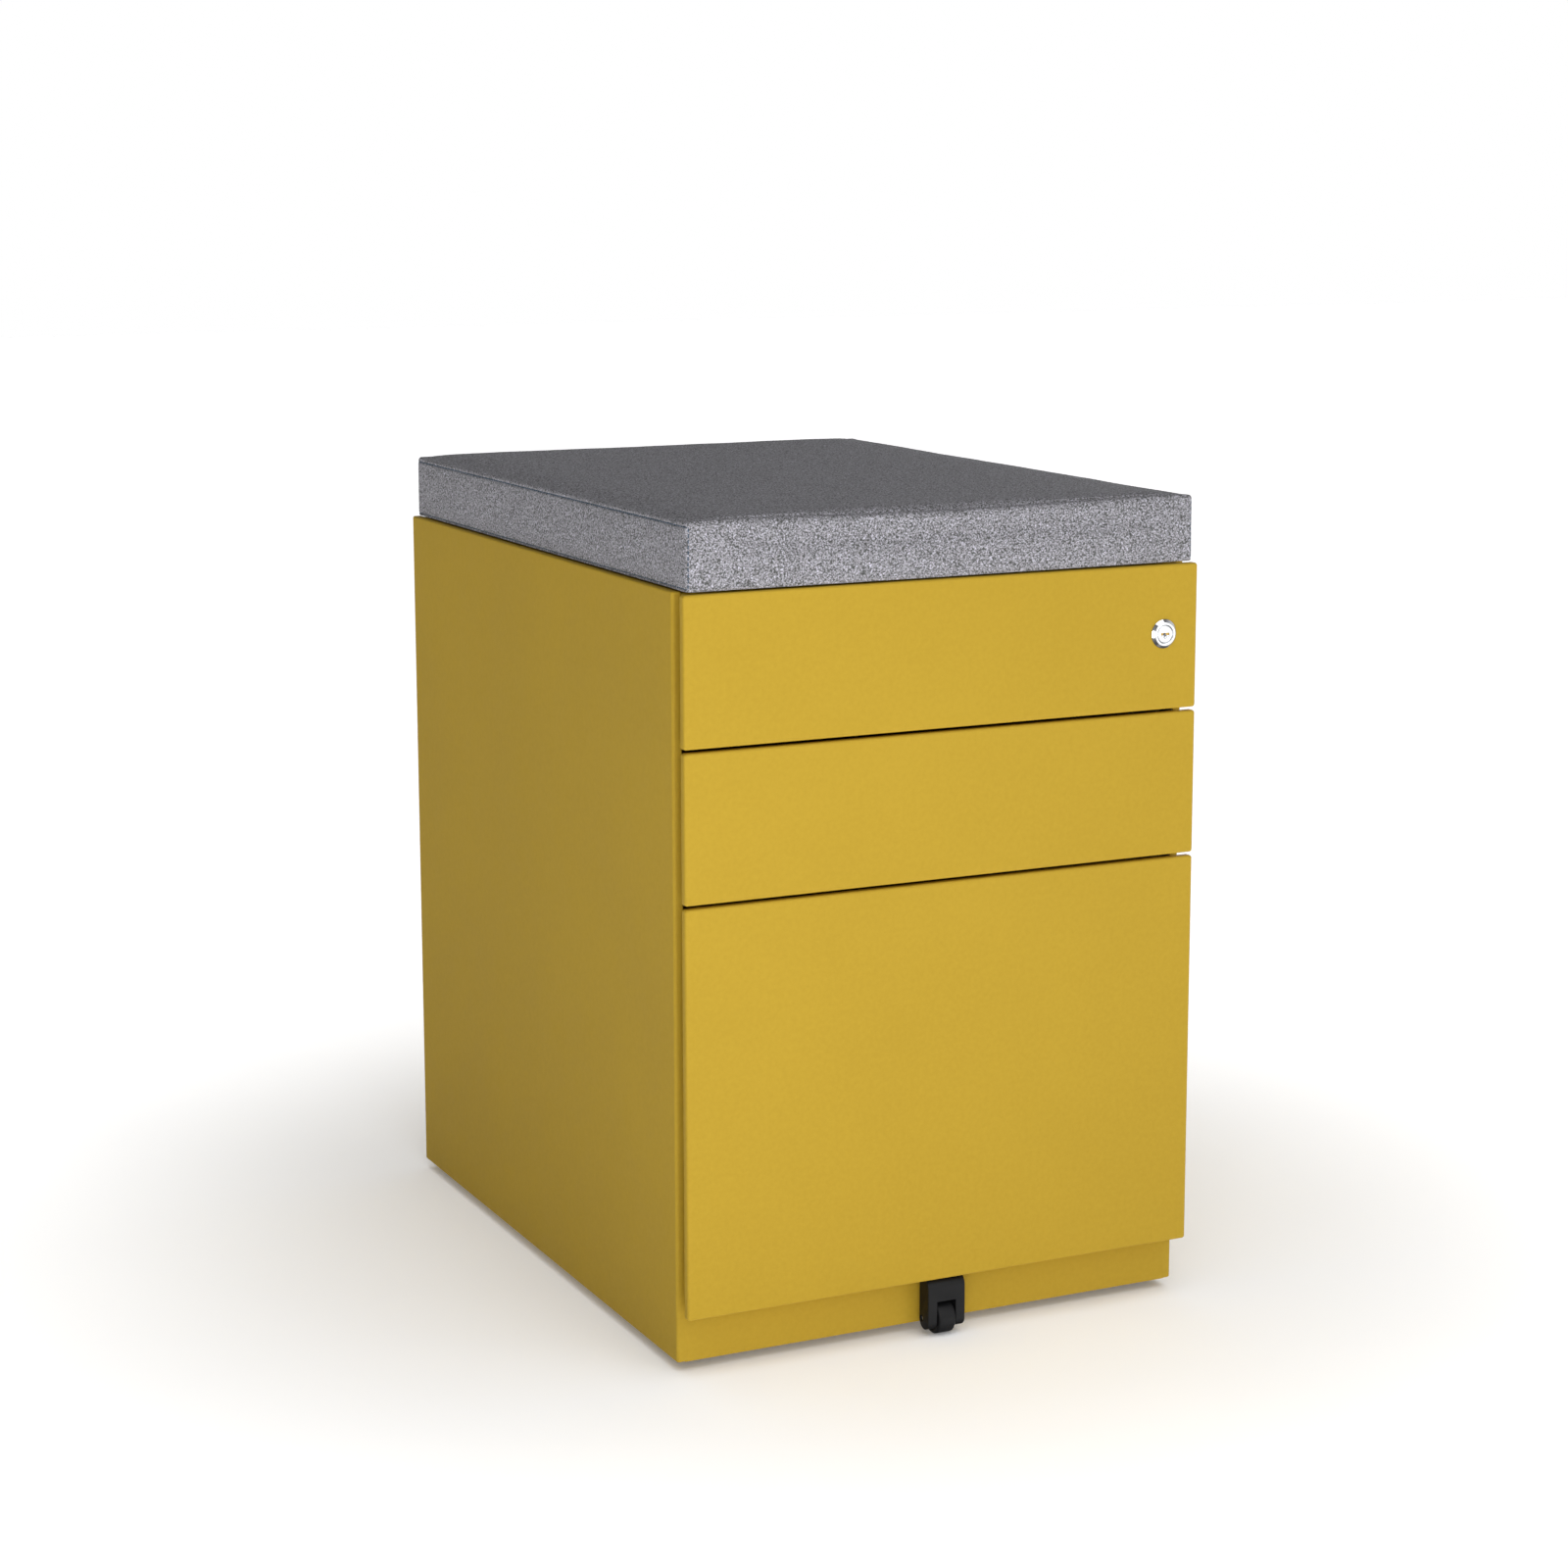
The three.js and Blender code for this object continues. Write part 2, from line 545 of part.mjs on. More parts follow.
function castorFork() {
  const innerX = CASTOR_WHEEL_WIDTH / 2 + 1.2;
  const outerX = innerX + FORK_WALL;
  const hub = rod("z", FORK_HUB_R, FORK_CROWN_Z, PLATE_Z0 - GAP, [0, 0, 0], 20);
  const crown = prism(
    "z", roundedRect(-outerX, outerX, -FORK_HUB_R, 19, 5), FORK_CROWN_Z, FORK_CROWN_Z + FORK_WALL,
  );
  const leg = polygon([
    [2, FORK_CROWN_Z + 1],
    [CASTOR_TRAIL - 5, CASTOR_WHEEL_R - 3],
    [CASTOR_TRAIL - 2, CASTOR_WHEEL_R - 5.5],
    [CASTOR_TRAIL + 2, CASTOR_WHEEL_R - 5.5],
    [CASTOR_TRAIL + 5, CASTOR_WHEEL_R - 3],
    [14, FORK_CROWN_Z + 1],
  ]);
  const axle = rod(
    "x", CASTOR_AXLE_R, -outerX - 1, outerX + 1, [0, CASTOR_TRAIL, CASTOR_WHEEL_R], 16,
  );
  const legs = [prism("x", leg, innerX, outerX), prism("x", leg, -outerX, -innerX)];
  return union(hub, crown, ...legs, axle).subtract(
    rod("z", KINGPIN_R + GAP, 20, PLATE_Z0, [0, 0, 0], 16),
  );
}

// Wheel: a solid tyre with dished sides and a bore.
function wheel(radius, width, bore, centre, segments) {
  const half = width / 2;
  const rim = radius - 1.4;
  return turned("x", [
    [bore, -half],
    [bore, half],
    [radius - 4.2, half - 1],
    [rim, half],
    [radius, half - 1.8],
    [radius, -half + 1.8],
    [rim, -half],
    [radius - 4.2, -half + 1],
  ].reverse(), centre, segments);
}

for (const [endName, y] of [["front", CASTOR_FRONT_Y], ["rear", CASTOR_REAR_Y]]) {
  for (const [sideName, side] of SIDES) {
    const castor = new THREE.Group();
    castor.position.set(side * CASTOR_X, y, 0);
    pedestal.add(castor);
    const prefix = `${endName}_${sideName}_castor`;
    const wheelCentre = [0, CASTOR_TRAIL, CASTOR_WHEEL_R];
    const tyre = wheel(CASTOR_WHEEL_R, CASTOR_WHEEL_WIDTH, CASTOR_AXLE_R + 0.35, wheelCentre, 20);
    addNode(`${prefix}_plate`, zincSteel, castorPlate(), castor);
    addNode(`${prefix}_fork`, zincSteel, castorFork(), castor);
    addNode(`${prefix}_wheel`, greyTread, tyre, castor);
  }
}

// ---------------------------------------------------------------- anti-tip wheel
// The housing hangs from the file drawer's front; the wheel stands proud of it in front and behind.
const TIP_WHEEL_Y = FRONT_Y + TIP_WHEEL_R;
const TIP_HOUSING_Y0 = FRONT_Y + 2;
const TIP_HOUSING_BOTTOM = 7.5;
const TIP_BROW_R = 8; // the housing's top front edge is rounded over
const TIP_AXLE_R = 2;

function tipHousing() {
  const y0 = TIP_HOUSING_Y0;
  const y1 = y0 + TIP_HOUSING_DEPTH;
  const lobeR = TIP_HOUSING_DEPTH / 2;
  const lobeZ = TIP_HOUSING_BOTTOM + lobeR;
  const top = FILE_DRAWER.z0 - GAP;
  const profile = new THREE.Shape();
  profile.absarc(y0 + TIP_BROW_R, top - TIP_BROW_R, TIP_BROW_R, Math.PI, Math.PI / 2, true);
  profile.lineTo(y1, top);
  profile.lineTo(y1, lobeZ);
  profile.absarc(y0 + lobeR, lobeZ, lobeR, 0, -Math.PI, true);
  profile.closePath();
  const x0 = TIP_WHEEL_X - TIP_HOUSING_WIDTH / 2;
  const x1 = TIP_WHEEL_X + TIP_HOUSING_WIDTH / 2;
  const shell = prism("x", profile, x0, x1, 1, 2);
  const slotHalf = TIP_WHEEL_WIDTH / 2 + 0.6;
  const slot = box(
    TIP_WHEEL_X - slotHalf, TIP_WHEEL_X + slotHalf, y0 - 1, y1 + 1, 0, 2 * TIP_WHEEL_R + 1,
  );
  const stem = box(
    TIP_WHEEL_X - 10, TIP_WHEEL_X + 10, FRONT_Y + FRONT_LIP + GAP, y1 - 1, top - 1,
    FILE_DRAWER.z0 + SHEET + 2 - GAP,
  );
  const axleHole = rod("x", TIP_AXLE_R + GAP, x0 - 1, x1 + 1, [0, TIP_WHEEL_Y, TIP_WHEEL_R], 16);
  return union(shell, stem).subtract(slot).subtract(axleHole);
}

const TIP_AXLE_HALF = TIP_HOUSING_WIDTH / 2 - 1.5;
const tipAxle = rod(
  "x", TIP_AXLE_R, TIP_WHEEL_X - TIP_AXLE_HALF, TIP_WHEEL_X + TIP_AXLE_HALF,
  [0, TIP_WHEEL_Y, TIP_WHEEL_R], 16,
);
const tipTyre = wheel(
  TIP_WHEEL_R, TIP_WHEEL_WIDTH, TIP_AXLE_R + GAP, [TIP_WHEEL_X, TIP_WHEEL_Y, TIP_WHEEL_R], 32,
);
addNode("anti_tip_housing", blackPlastic, tipHousing());
addNode("anti_tip_axle", zincSteel, tipAxle);
addNode("anti_tip_wheel", blackPlastic, tipTyre);

// ---------------------------------------------------------------- seat cushion
// A foam block in a fabric cover on a plywood board, on a thin mat that grips the steel top.
function cushion() {
  const outline = roundedRect(
    -CUSHION_HALF_WIDTH, CUSHION_HALF_WIDTH, CUSHION_FRONT_Y, CUSHION_BACK_Y, CUSHION_EDGE_R,
  );
  const block = prism("z", outline, CUSHION_BOTTOM, CUSHION_TOP, CUSHION_EDGE_R / 2);
  const inset = BOARD_INSET - GAP;
  const pocket = box(
    -CUSHION_HALF_WIDTH + inset, CUSHION_HALF_WIDTH - inset,
    CUSHION_FRONT_Y + inset, CUSHION_BACK_Y - inset,
    CUSHION_BOTTOM - 1, CUSHION_BOTTOM + BOARD_THICKNESS + GAP,
  );
  return block.subtract(pocket);
}

const MAT_HALF_WIDTH = 195;
const cushionBoard = box(
  -CUSHION_HALF_WIDTH + BOARD_INSET, CUSHION_HALF_WIDTH - BOARD_INSET,
  CUSHION_FRONT_Y + BOARD_INSET, CUSHION_BACK_Y - BOARD_INSET,
  CUSHION_BOTTOM, CUSHION_BOTTOM + BOARD_THICKNESS,
);
const gripMat = box(-MAT_HALF_WIDTH, MAT_HALF_WIDTH, FACE_Y + 8, BACK_Y - 12, MAT_BOTTOM, MAT_TOP);
addNode("seat_cushion", greyFabric, cushion());
addNode("cushion_board", plywood, cushionBoard);
addNode("grip_mat", rubberMat, gripMat);

// The overall box, which the proud lock head makes a little deeper, is centred on y = 0.
pedestal.position.y = LOCK_PROUD / 2;
pedestal.updateMatrixWorld(true);

export default pedestal;
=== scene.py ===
"""Looks of the filing pedestal: paint, metals, plastics, the sewn seat cushion and small hardware,
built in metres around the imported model."""
import json
import math

import bmesh
import bpy
import numpy as np
from mathutils import Matrix, Vector, noise
from mathutils.bvhtree import BVHTree

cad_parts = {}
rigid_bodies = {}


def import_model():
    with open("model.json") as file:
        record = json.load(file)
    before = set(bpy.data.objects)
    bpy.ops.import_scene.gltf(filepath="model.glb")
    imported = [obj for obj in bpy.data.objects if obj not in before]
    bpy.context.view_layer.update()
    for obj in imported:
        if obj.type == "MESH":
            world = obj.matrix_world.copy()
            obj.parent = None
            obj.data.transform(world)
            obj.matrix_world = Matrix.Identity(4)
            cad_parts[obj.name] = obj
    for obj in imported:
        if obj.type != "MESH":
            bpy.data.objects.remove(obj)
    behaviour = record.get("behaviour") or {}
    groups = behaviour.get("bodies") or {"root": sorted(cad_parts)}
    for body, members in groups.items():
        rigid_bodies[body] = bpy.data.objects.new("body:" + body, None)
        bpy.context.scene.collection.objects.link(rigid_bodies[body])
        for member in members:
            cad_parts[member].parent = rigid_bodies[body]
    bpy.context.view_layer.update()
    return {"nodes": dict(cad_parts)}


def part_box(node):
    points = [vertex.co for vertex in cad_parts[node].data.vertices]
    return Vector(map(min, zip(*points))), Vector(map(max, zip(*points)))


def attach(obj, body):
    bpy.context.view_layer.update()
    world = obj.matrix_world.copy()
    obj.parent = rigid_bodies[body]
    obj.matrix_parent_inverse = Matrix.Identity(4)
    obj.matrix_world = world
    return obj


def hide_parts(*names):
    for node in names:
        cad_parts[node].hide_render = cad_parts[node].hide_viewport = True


for leftover in list(bpy.data.objects):
    bpy.data.objects.remove(leftover)
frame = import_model()

MM = 0.001
NODES = frame["nodes"]
SCENE = bpy.context.scene


# ---------------------------------------------------------------- node helpers
class Shader:
    """A material or world node tree with short calls for adding and linking nodes."""

    def __init__(self, name, world=False):
        self.block = bpy.data.worlds.new(name) if world else bpy.data.materials.new(name)
        self.block.use_nodes = True
        self.tree = self.block.node_tree
        self.tree.nodes.clear()
        self.column = 0

    def add(self, kind, inputs=None, **settings):
        node = self.tree.nodes.new(kind)
        node.location = (self.column * 180, 0)
        self.column += 1
        for key, value in settings.items():
            setattr(node, key, value)
        for key, value in (inputs or {}).items():
            socket = node.inputs[key]
            if isinstance(value, bpy.types.NodeSocket):
                self.tree.links.new(value, socket)
            else:
                socket.default_value = value
        return node

    def coordinates(self, scale=None):
        """Object coordinates in metres, stretched by scale if there is one."""
        source = self.add("ShaderNodeTexCoord").outputs["Object"]
        if scale is None:
            return source
        return self.add("ShaderNodeMapping", {0: source, "Scale": scale}).outputs[0]

    def noise(self, vector, scale, detail=2.0, roughness=0.5, distortion=0.0):
        node = self.add("ShaderNodeTexNoise", {
            "Vector": vector, "Scale": scale, "Detail": detail, "Roughness": roughness,
            "Distortion": distortion,
        })
        return node.outputs[0]

    def voronoi(self, vector, scale, feature="F1"):
        node = self.add("ShaderNodeTexVoronoi", {"Vector": vector, "Scale": scale}, feature=feature)
        return node.outputs["Distance"]

    def math(self, operation, a, b=0.0):
        return self.add("ShaderNodeMath", {0: a, 1: b}, operation=operation).outputs[0]

    def vector(self, operation, inputs, output=0):
        return self.add("ShaderNodeVectorMath", inputs, operation=operation).outputs[output]

    def remap(self, value, low, high, to_low=0.0, to_high=1.0, smooth=False):
        """value moved from the range low..high to the range to_low..to_high, and held inside it."""
        node = self.add("ShaderNodeMapRange", {
            0: value, 1: low, 2: high, 3: to_low, 4: to_high,
        }, interpolation_type="SMOOTHSTEP" if smooth else "LINEAR")
        return node.outputs[0]

    def mix(self, factor, a, b):
        """Colour a at factor 0 and colour b at factor 1."""
        node = self.add("ShaderNodeMix", data_type="RGBA")
        for socket, value in ((node.inputs[0], factor), (node.inputs[6], a), (node.inputs[7], b)):
            if isinstance(value, bpy.types.NodeSocket):
                self.tree.links.new(value, socket)
            elif isinstance(value, (int, float)):
                socket.default_value = value
            else:
                socket.default_value = (*value[:3], 1.0)
        return node.outputs[2]

    def bump(self, height, distance, strength):
        inputs = {"Height": height, "Distance": distance, "Strength": strength}
        return self.add("ShaderNodeBump", inputs).outputs[0]

    def surface(self, **inputs):
        """Ends the tree in a Principled shader; plain numbers stay on its own sockets."""
        node = self.add("ShaderNodeBsdfPrincipled")
        for key, value in inputs.items():
            socket = node.inputs[key.replace("_", " ")]
            if isinstance(value, bpy.types.NodeSocket):
                self.tree.links.new(value, socket)
            elif socket.type == "RGBA":
                socket.default_value = (*value, 1.0)
            else:
                socket.default_value = value
        output = self.add("ShaderNodeOutputMaterial")
        self.tree.links.new(node.outputs[0], output.inputs[0])
        return self.block


# ---------------------------------------------------------------- materials
# Pattern scales are in features per metre, bump heights in metres and colours linear.
YELLOW = (0.560, 0.366, 0.036)
ZINC = (0.62, 0.63, 0.65)
# Painted reflection: the yellow paint's gold as mirrored in the key slot, given as a metal colour.
REFLECTED_YELLOW_METAL = (0.72, 0.47, 0.13)
BLACK = (0.0065, 0.0065, 0.007)
# Painted light: the floor glows though it is no lamp, and glows less near the cabinet as a painted
# shadow round it.
FLOOR_GLOW = 0.12  # the floor's own light under the cabinet
FLOOR_GLOW_FAR = 0.26  # what it gains away from the cabinet


def scaled(colour, *factors):
    """A colour times one factor, or times one factor for each channel."""
    if len(factors) == 1:
        factors *= 3
    return tuple(c * f for c, f in zip(colour, factors))


def powder_coat(name, tint=1.0, roughness=0.5):
    """Satin yellow powder coat: orange peel, faint cloudiness and fine dust-like specks."""
    s = Shader(name)
    at = s.coordinates()
    cloud = s.noise(at, 9.0, 3.0, 0.55)
    mottle = s.noise(at, 260.0, 2.0, 0.6)
    specks = s.remap(s.noise(at, 900.0, 1.0), 0.66, 0.74, 0.0, 0.22, smooth=True)
    dark = scaled(scaled(YELLOW, tint), 0.972, 0.968, 0.94)
    light = scaled(scaled(YELLOW, tint), 1.028, 1.032, 1.06)
    tone = s.math("ADD", s.math("MULTIPLY", cloud, 0.4), s.math("MULTIPLY", mottle, 0.6))
    colour = s.mix(s.remap(tone, 0.36, 0.64), dark, light)
    colour = s.mix(specks, colour, scaled(dark, 0.8))
    rough = s.remap(cloud, 0.35, 0.65, roughness - 0.04, roughness + 0.05)
    rough = s.math("ADD", rough, s.math("MULTIPLY", s.noise(at, 45.0, 2.0), 0.05))
    peel = s.noise(at, 420.0, 2.0, 0.45)
    fine = s.noise(at, 1700.0, 1.0)
    height = s.math("ADD", peel, s.math("MULTIPLY", fine, 0.3))
    return s.surface(
        Base_Color=colour, Roughness=rough, Normal=s.bump(height, 0.06 * MM, 0.8),
        Specular_IOR_Level=0.09,
    )


def brushed_steel(name, along="Y", base=ZINC):
    """Bright zinc-plated rolled steel, streaked along one axis, with a faint warm and blue bloom."""
    s = Shader(name)
    stretch = {"Y": (1, 0.03, 1), "Z": (1, 1, 0.03)}[along]
    streak = s.noise(s.coordinates(stretch), 900.0, 3.0, 0.6)
    at = s.coordinates()
    bloom = s.noise(at, 24.0, 3.0, 0.6)
    spangle = s.voronoi(at, 160.0)
    warm, cool = scaled(base, 1.03, 1.0, 0.94), scaled(base, 0.95, 0.99, 1.05)
    colour = s.mix(s.remap(bloom, 0.35, 0.65), warm, cool)
    colour = s.mix(s.remap(streak, 0.3, 0.7, 0.0, 0.35), colour, scaled(base, 0.78))
    rough = s.remap(streak, 0.25, 0.75, 0.30, 0.46)
    rough = s.math("ADD", rough, s.math("MULTIPLY", spangle, 0.08))
    return s.surface(
        Base_Color=colour, Metallic=0.82, Roughness=rough, Normal=s.bump(streak, 0.02 * MM, 0.7),
    )


def chrome(name):
    """Polished chrome with micro scratches and the slightest haze."""
    s = Shader(name)
    at = s.coordinates()
    haze = s.noise(at, 180.0, 3.0, 0.6)
    scratch = s.noise(s.coordinates((1, 1, 0.06)), 4200.0, 2.0)
    colour = s.mix(s.remap(haze, 0.35, 0.65), (0.74, 0.75, 0.77), (0.83, 0.84, 0.86))
    rough = s.remap(haze, 0.3, 0.7, 0.08, 0.15)
    rough = s.math("ADD", rough, s.remap(scratch, 0.62, 0.72, 0.0, 0.1))
    return s.surface(
        Base_Color=colour, Metallic=1.0, Roughness=rough, Normal=s.bump(scratch, 0.004 * MM, 0.6),
    )


def moulded_plastic(name):
    """Black moulded plastic with a fine spark-eroded grain and slightly duller patches."""
    s = Shader(name)
    at = s.coordinates()
    pits = s.voronoi(at, 1500.0)
    cloud = s.noise(at, 70.0, 3.0, 0.6)
    colour = s.mix(s.remap(cloud, 0.35, 0.68), BLACK, scaled(BLACK, 1.35))
    height = s.math("ADD", pits, s.math("MULTIPLY", s.noise(at, 900.0, 2.0), 0.6))
    return s.surface(
        Base_Color=colour, Roughness=s.remap(cloud, 0.3, 0.7, 0.44, 0.58),
        Normal=s.bump(height, 0.05 * MM, 0.6), Specular_IOR_Level=0.24,
    )


def wheel_tread(name):
    """Dark nylon of the castor wheels, greyed where the tread has rolled."""
    s = Shader(name)
    at = s.coordinates()
    dust = s.noise(at, 320.0, 4.0, 0.65)
    wear = s.noise(at, 60.0, 2.0)
    colour = s.mix(s.remap(dust, 0.45, 0.7, 0.0, 0.7), (0.022, 0.022, 0.024), (0.075, 0.073, 0.07))
    rough = s.remap(wear, 0.3, 0.7, 0.5, 0.75)
    return s.surface(
        Base_Color=colour, Roughness=rough, Normal=s.bump(dust, 0.08 * MM, 0.7),
        Specular_IOR_Level=0.4,
    )


def crepe_fabric(name):
    """Grey crepe upholstery: a pebbled weave of lilac-grey loops, painted darker in its pits as
    painted shade and near white on the loop tips as painted highlight.
    """
    s = Shader(name)
    at = s.coordinates()
    warp = s.add("ShaderNodeTexNoise", {"Vector": at, "Scale": 240.0, "Detail": 1.0}).outputs[1]
    shift = s.vector("SUBTRACT", {0: warp, 1: (0.5, 0.5, 0.5)})
    shift = s.vector("SCALE", {0: shift, "Scale": 1.6 * MM})
    bent = s.vector("ADD", {0: at, 1: shift})
    loops = s.voronoi(bent, 880.0, feature="SMOOTH_F1")
    worms = s.noise(bent, 800.0, 1.5, 0.55, 0.6)
    fibre = s.noise(at, 2600.0, 2.0, 0.6)
    cloud = s.noise(at, 30.0, 3.0, 0.6)
    pebble = s.math("SUBTRACT", 1.0, s.math("MULTIPLY", loops, 1.25))
    height = s.math("ADD", s.math("MULTIPLY", pebble, 0.5), s.math("MULTIPLY", worms, 0.9))
    tone = s.math("ADD", height, s.math("MULTIPLY", s.math("SUBTRACT", fibre, 0.5), 0.22))
    # Painted shade: the colour darkens with the weave's relief, darkest in the pits.
    colour = s.mix(s.remap(tone, 0.50, 0.80), (0.088, 0.091, 0.086), (0.440, 0.430, 0.470))
    # Painted highlight: the highest loop tips turn near white.
    colour = s.mix(s.remap(tone, 0.78, 1.05), colour, (0.86, 0.84, 0.98))
    colour = s.mix(s.remap(cloud, 0.3, 0.7, 0.0, 0.06), colour, (0.39, 0.385, 0.415))
    relief = s.math("ADD", height, s.math("MULTIPLY", fibre, 0.15))
    return s.surface(
        Base_Color=colour, Roughness=s.remap(tone, 0.6, 1.1, 0.95, 0.82),
        Normal=s.bump(relief, 0.7 * MM, 0.75), Specular_IOR_Level=0.2,
        Sheen_Weight=0.12, Sheen_Roughness=0.5,
    )


def sewing_thread(name):
    """Dark teal polyester thread with its twist."""
    s = Shader(name)
    twist = s.noise(s.coordinates(), 5200.0, 1.0)
    colour = s.mix(s.remap(twist, 0.35, 0.65), (0.026, 0.062, 0.105), (0.055, 0.125, 0.20))
    return s.surface(
        Base_Color=colour, Roughness=s.remap(twist, 0.3, 0.7, 0.45, 0.62),
        Normal=s.bump(twist, 0.08 * MM, 0.8), Sheen_Weight=0.1,
    )


def birch_plywood(name):
    """Raw birch plywood: layered edges, long grain on the faces and small dark flecks."""
    s = Shader(name)
    grain = s.noise(s.coordinates((1.0, 0.05, 1.0)), 150.0, 5.0, 0.6, 0.4)
    plies = s.noise(s.coordinates((0.02, 0.02, 1.0)), 620.0, 1.0)
    flecks = s.noise(s.coordinates((1.0, 0.18, 1.0)), 900.0, 2.0)
    colour = s.mix(s.remap(grain, 0.35, 0.65), (0.46, 0.31, 0.16), (0.66, 0.49, 0.29))
    colour = s.mix(s.remap(plies, 0.52, 0.6, 0.0, 0.45), colour, (0.30, 0.18, 0.085))
    colour = s.mix(s.remap(flecks, 0.68, 0.75, 0.0, 0.5), colour, (0.2, 0.11, 0.05))
    return s.surface(
        Base_Color=colour, Roughness=s.remap(grain, 0.3, 0.7, 0.58, 0.74),
        Normal=s.bump(s.math("ADD", grain, plies), 0.12 * MM, 0.6),
    )


def rubber_mat(name):
    """Matt anti-slip rubber with a small pebble pattern."""
    s = Shader(name)
    at = s.coordinates()
    pebbles = s.voronoi(at, 420.0)
    dust = s.noise(at, 55.0, 4.0, 0.65)
    colour = s.mix(s.remap(dust, 0.35, 0.7), (0.026, 0.026, 0.028), (0.05, 0.049, 0.048))
    return s.surface(
        Base_Color=colour, Roughness=s.remap(dust, 0.3, 0.7, 0.74, 0.9),
        Normal=s.bump(pebbles, 0.4 * MM, 0.8), Specular_IOR_Level=0.3,
    )


def pale_floor(name):
    """Plain pale studio floor that glows a little as painted light, more so away from the cabinet,
    so that it is painted darker round the cabinet.
    """
    s = Shader(name)
    at = s.coordinates()
    cloud = s.noise(at, 2.0, 3.0)
    colour = s.mix(s.remap(cloud, 0.3, 0.7), (0.83, 0.83, 0.835), (0.86, 0.86, 0.86))
    distance = s.vector("LENGTH", {0: at}, "Value")
    # Painted light and painted shadow: the glow grows with distance from the cabinet.
    glow = s.remap(distance, 0.35, 0.85, FLOOR_GLOW, FLOOR_GLOW + FLOOR_GLOW_FAR, smooth=True)
    return s.surface(
        Base_Color=colour, Roughness=s.remap(cloud, 0.3, 0.7, 0.7, 0.8),
        Normal=s.bump(s.noise(at, 240.0, 2.0), 0.05 * MM, 0.3), Specular_IOR_Level=0.15,
        Emission_Color=(1.0, 1.0, 1.0), Emission_Strength=glow,
    )


PAINT = powder_coat("yellow_paint")
# Painted highlight: the rounded edges get a lighter, glossier copy of the yellow paint.
PAINT_EDGE_HIGHLIGHT = powder_coat("yellow_paint_edge_highlight", tint=1.06, roughness=0.42)
STEEL = brushed_steel("zinc_steel_lengthwise")
STEEL_UP = brushed_steel("zinc_steel_upright", along="Z")
CHROME = chrome("lock_chrome")
KEYWAY_REFLECTION = brushed_steel("keyway_painted_reflection", base=REFLECTED_YELLOW_METAL)
PLASTIC = moulded_plastic("black_moulding")
TREAD = wheel_tread("castor_nylon")
FABRIC = crepe_fabric("grey_crepe")
THREAD = sewing_thread("teal_thread")
PLYWOOD = birch_plywood("birch_plywood")
RUBBER = rubber_mat("pebbled_rubber")
FLOOR = pale_floor("pale_floor")


# ---------------------------------------------------------------- mesh helpers
def outward_mesh(name, verts, faces):
    """A mesh of the given faces, all of them turned outward."""
    mesh = bpy.data.meshes.new(name)
    mesh.from_pydata([tuple(v) for v in verts], [], [tuple(f) for f in faces])
    mesh.validate()
    bm = bmesh.new()
    bm.from_mesh(mesh)
    bmesh.ops.recalc_face_normals(bm, faces=bm.faces)
    bm.to_mesh(mesh)
    bm.free()
    return mesh


def make(name, verts, faces, material, body, sharp):
    """A new piece in the frame's metres that rides on a body."""
    return finish_piece(name, outward_mesh(name, verts, faces), material, body, sharp)


def finish_piece(name, mesh, material, body, sharp):
    """Shades a mesh smooth up to sharp degrees and puts it on its body."""
    mesh.shade_smooth()
    mesh.set_sharp_from_angle(angle=math.radians(sharp))
    mesh.materials.clear()
    mesh.materials.append(material)
    piece = bpy.data.objects.new(name, mesh)
    SCENE.collection.objects.link(piece)
    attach(piece, body)
    return piece


def centre_of(node):
    lo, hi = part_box(node)
    return (lo + hi) / 2


# Two directions across each axis, and the axis itself.
AXES = {
    "x": (Vector((0, 1, 0)), Vector((0, 0, 1)), Vector((1, 0, 0))),
    "y": (Vector((1, 0, 0)), Vector((0, 0, 1)), Vector((0, 1, 0))),
    "z": (Vector((1, 0, 0)), Vector((0, 1, 0)), Vector((0, 0, 1))),
}


def lathe(profile, axis, centre, segments=64, closed=False):
    """Vertices and faces turned round an axis. profile holds (radius, height) in metres."""
    u, v, w = AXES[axis]
    verts, faces, rings = [], [], []
    for radius, height in profile:
        if radius < 1e-7:
            rings.append([len(verts)])
            verts.append(centre + w * height)
            continue
        ring = []
        for i in range(segments):
            a = 2 * math.pi * i / segments
            ring.append(len(verts))
            verts.append(centre + (u * math.cos(a) + v * math.sin(a)) * radius + w * height)
        rings.append(ring)
    pairs = list(zip(rings, rings[1:]))
    if closed:
        pairs.append((rings[-1], rings[0]))
    for a, b in pairs:
        for i in range(segments):
            j = (i + 1) % segments
            corners = [a[i % len(a)], a[j % len(a)], b[j % len(b)], b[i % len(b)]]
            face = list(dict.fromkeys(corners))
            if len(face) > 2:
                faces.append(face)
    return verts, faces


def merge(parts):
    """Joins (verts, faces) lists into one."""
    verts, faces = [], []
    for part_verts, part_faces in parts:
        base = len(verts)
        verts.extend(part_verts)
        faces.extend([[i + base for i in face] for face in part_faces])
    return verts, faces


def arc(cu, cv, radius, start, end, steps):
    """Points of a circular arc, angles in degrees."""
    return [
        (cu + radius * math.cos(math.radians(a)), cv + radius * math.sin(math.radians(a)))
        for a in np.linspace(start, end, steps + 1)
    ]


def prism(outline, axis, start, end, centre=Vector()):
    """A prism along an axis. outline holds its (u, v) points as lathe's axes have them."""
    u, v, w = AXES[axis]
    n = len(outline)
    verts = [centre + u * a + v * b + w * height for height in (start, end) for a, b in outline]
    faces = [list(range(n))[::-1], list(range(n, 2 * n))]
    faces += [[i, (i + 1) % n, n + (i + 1) % n, n + i] for i in range(n)]
    return verts, faces


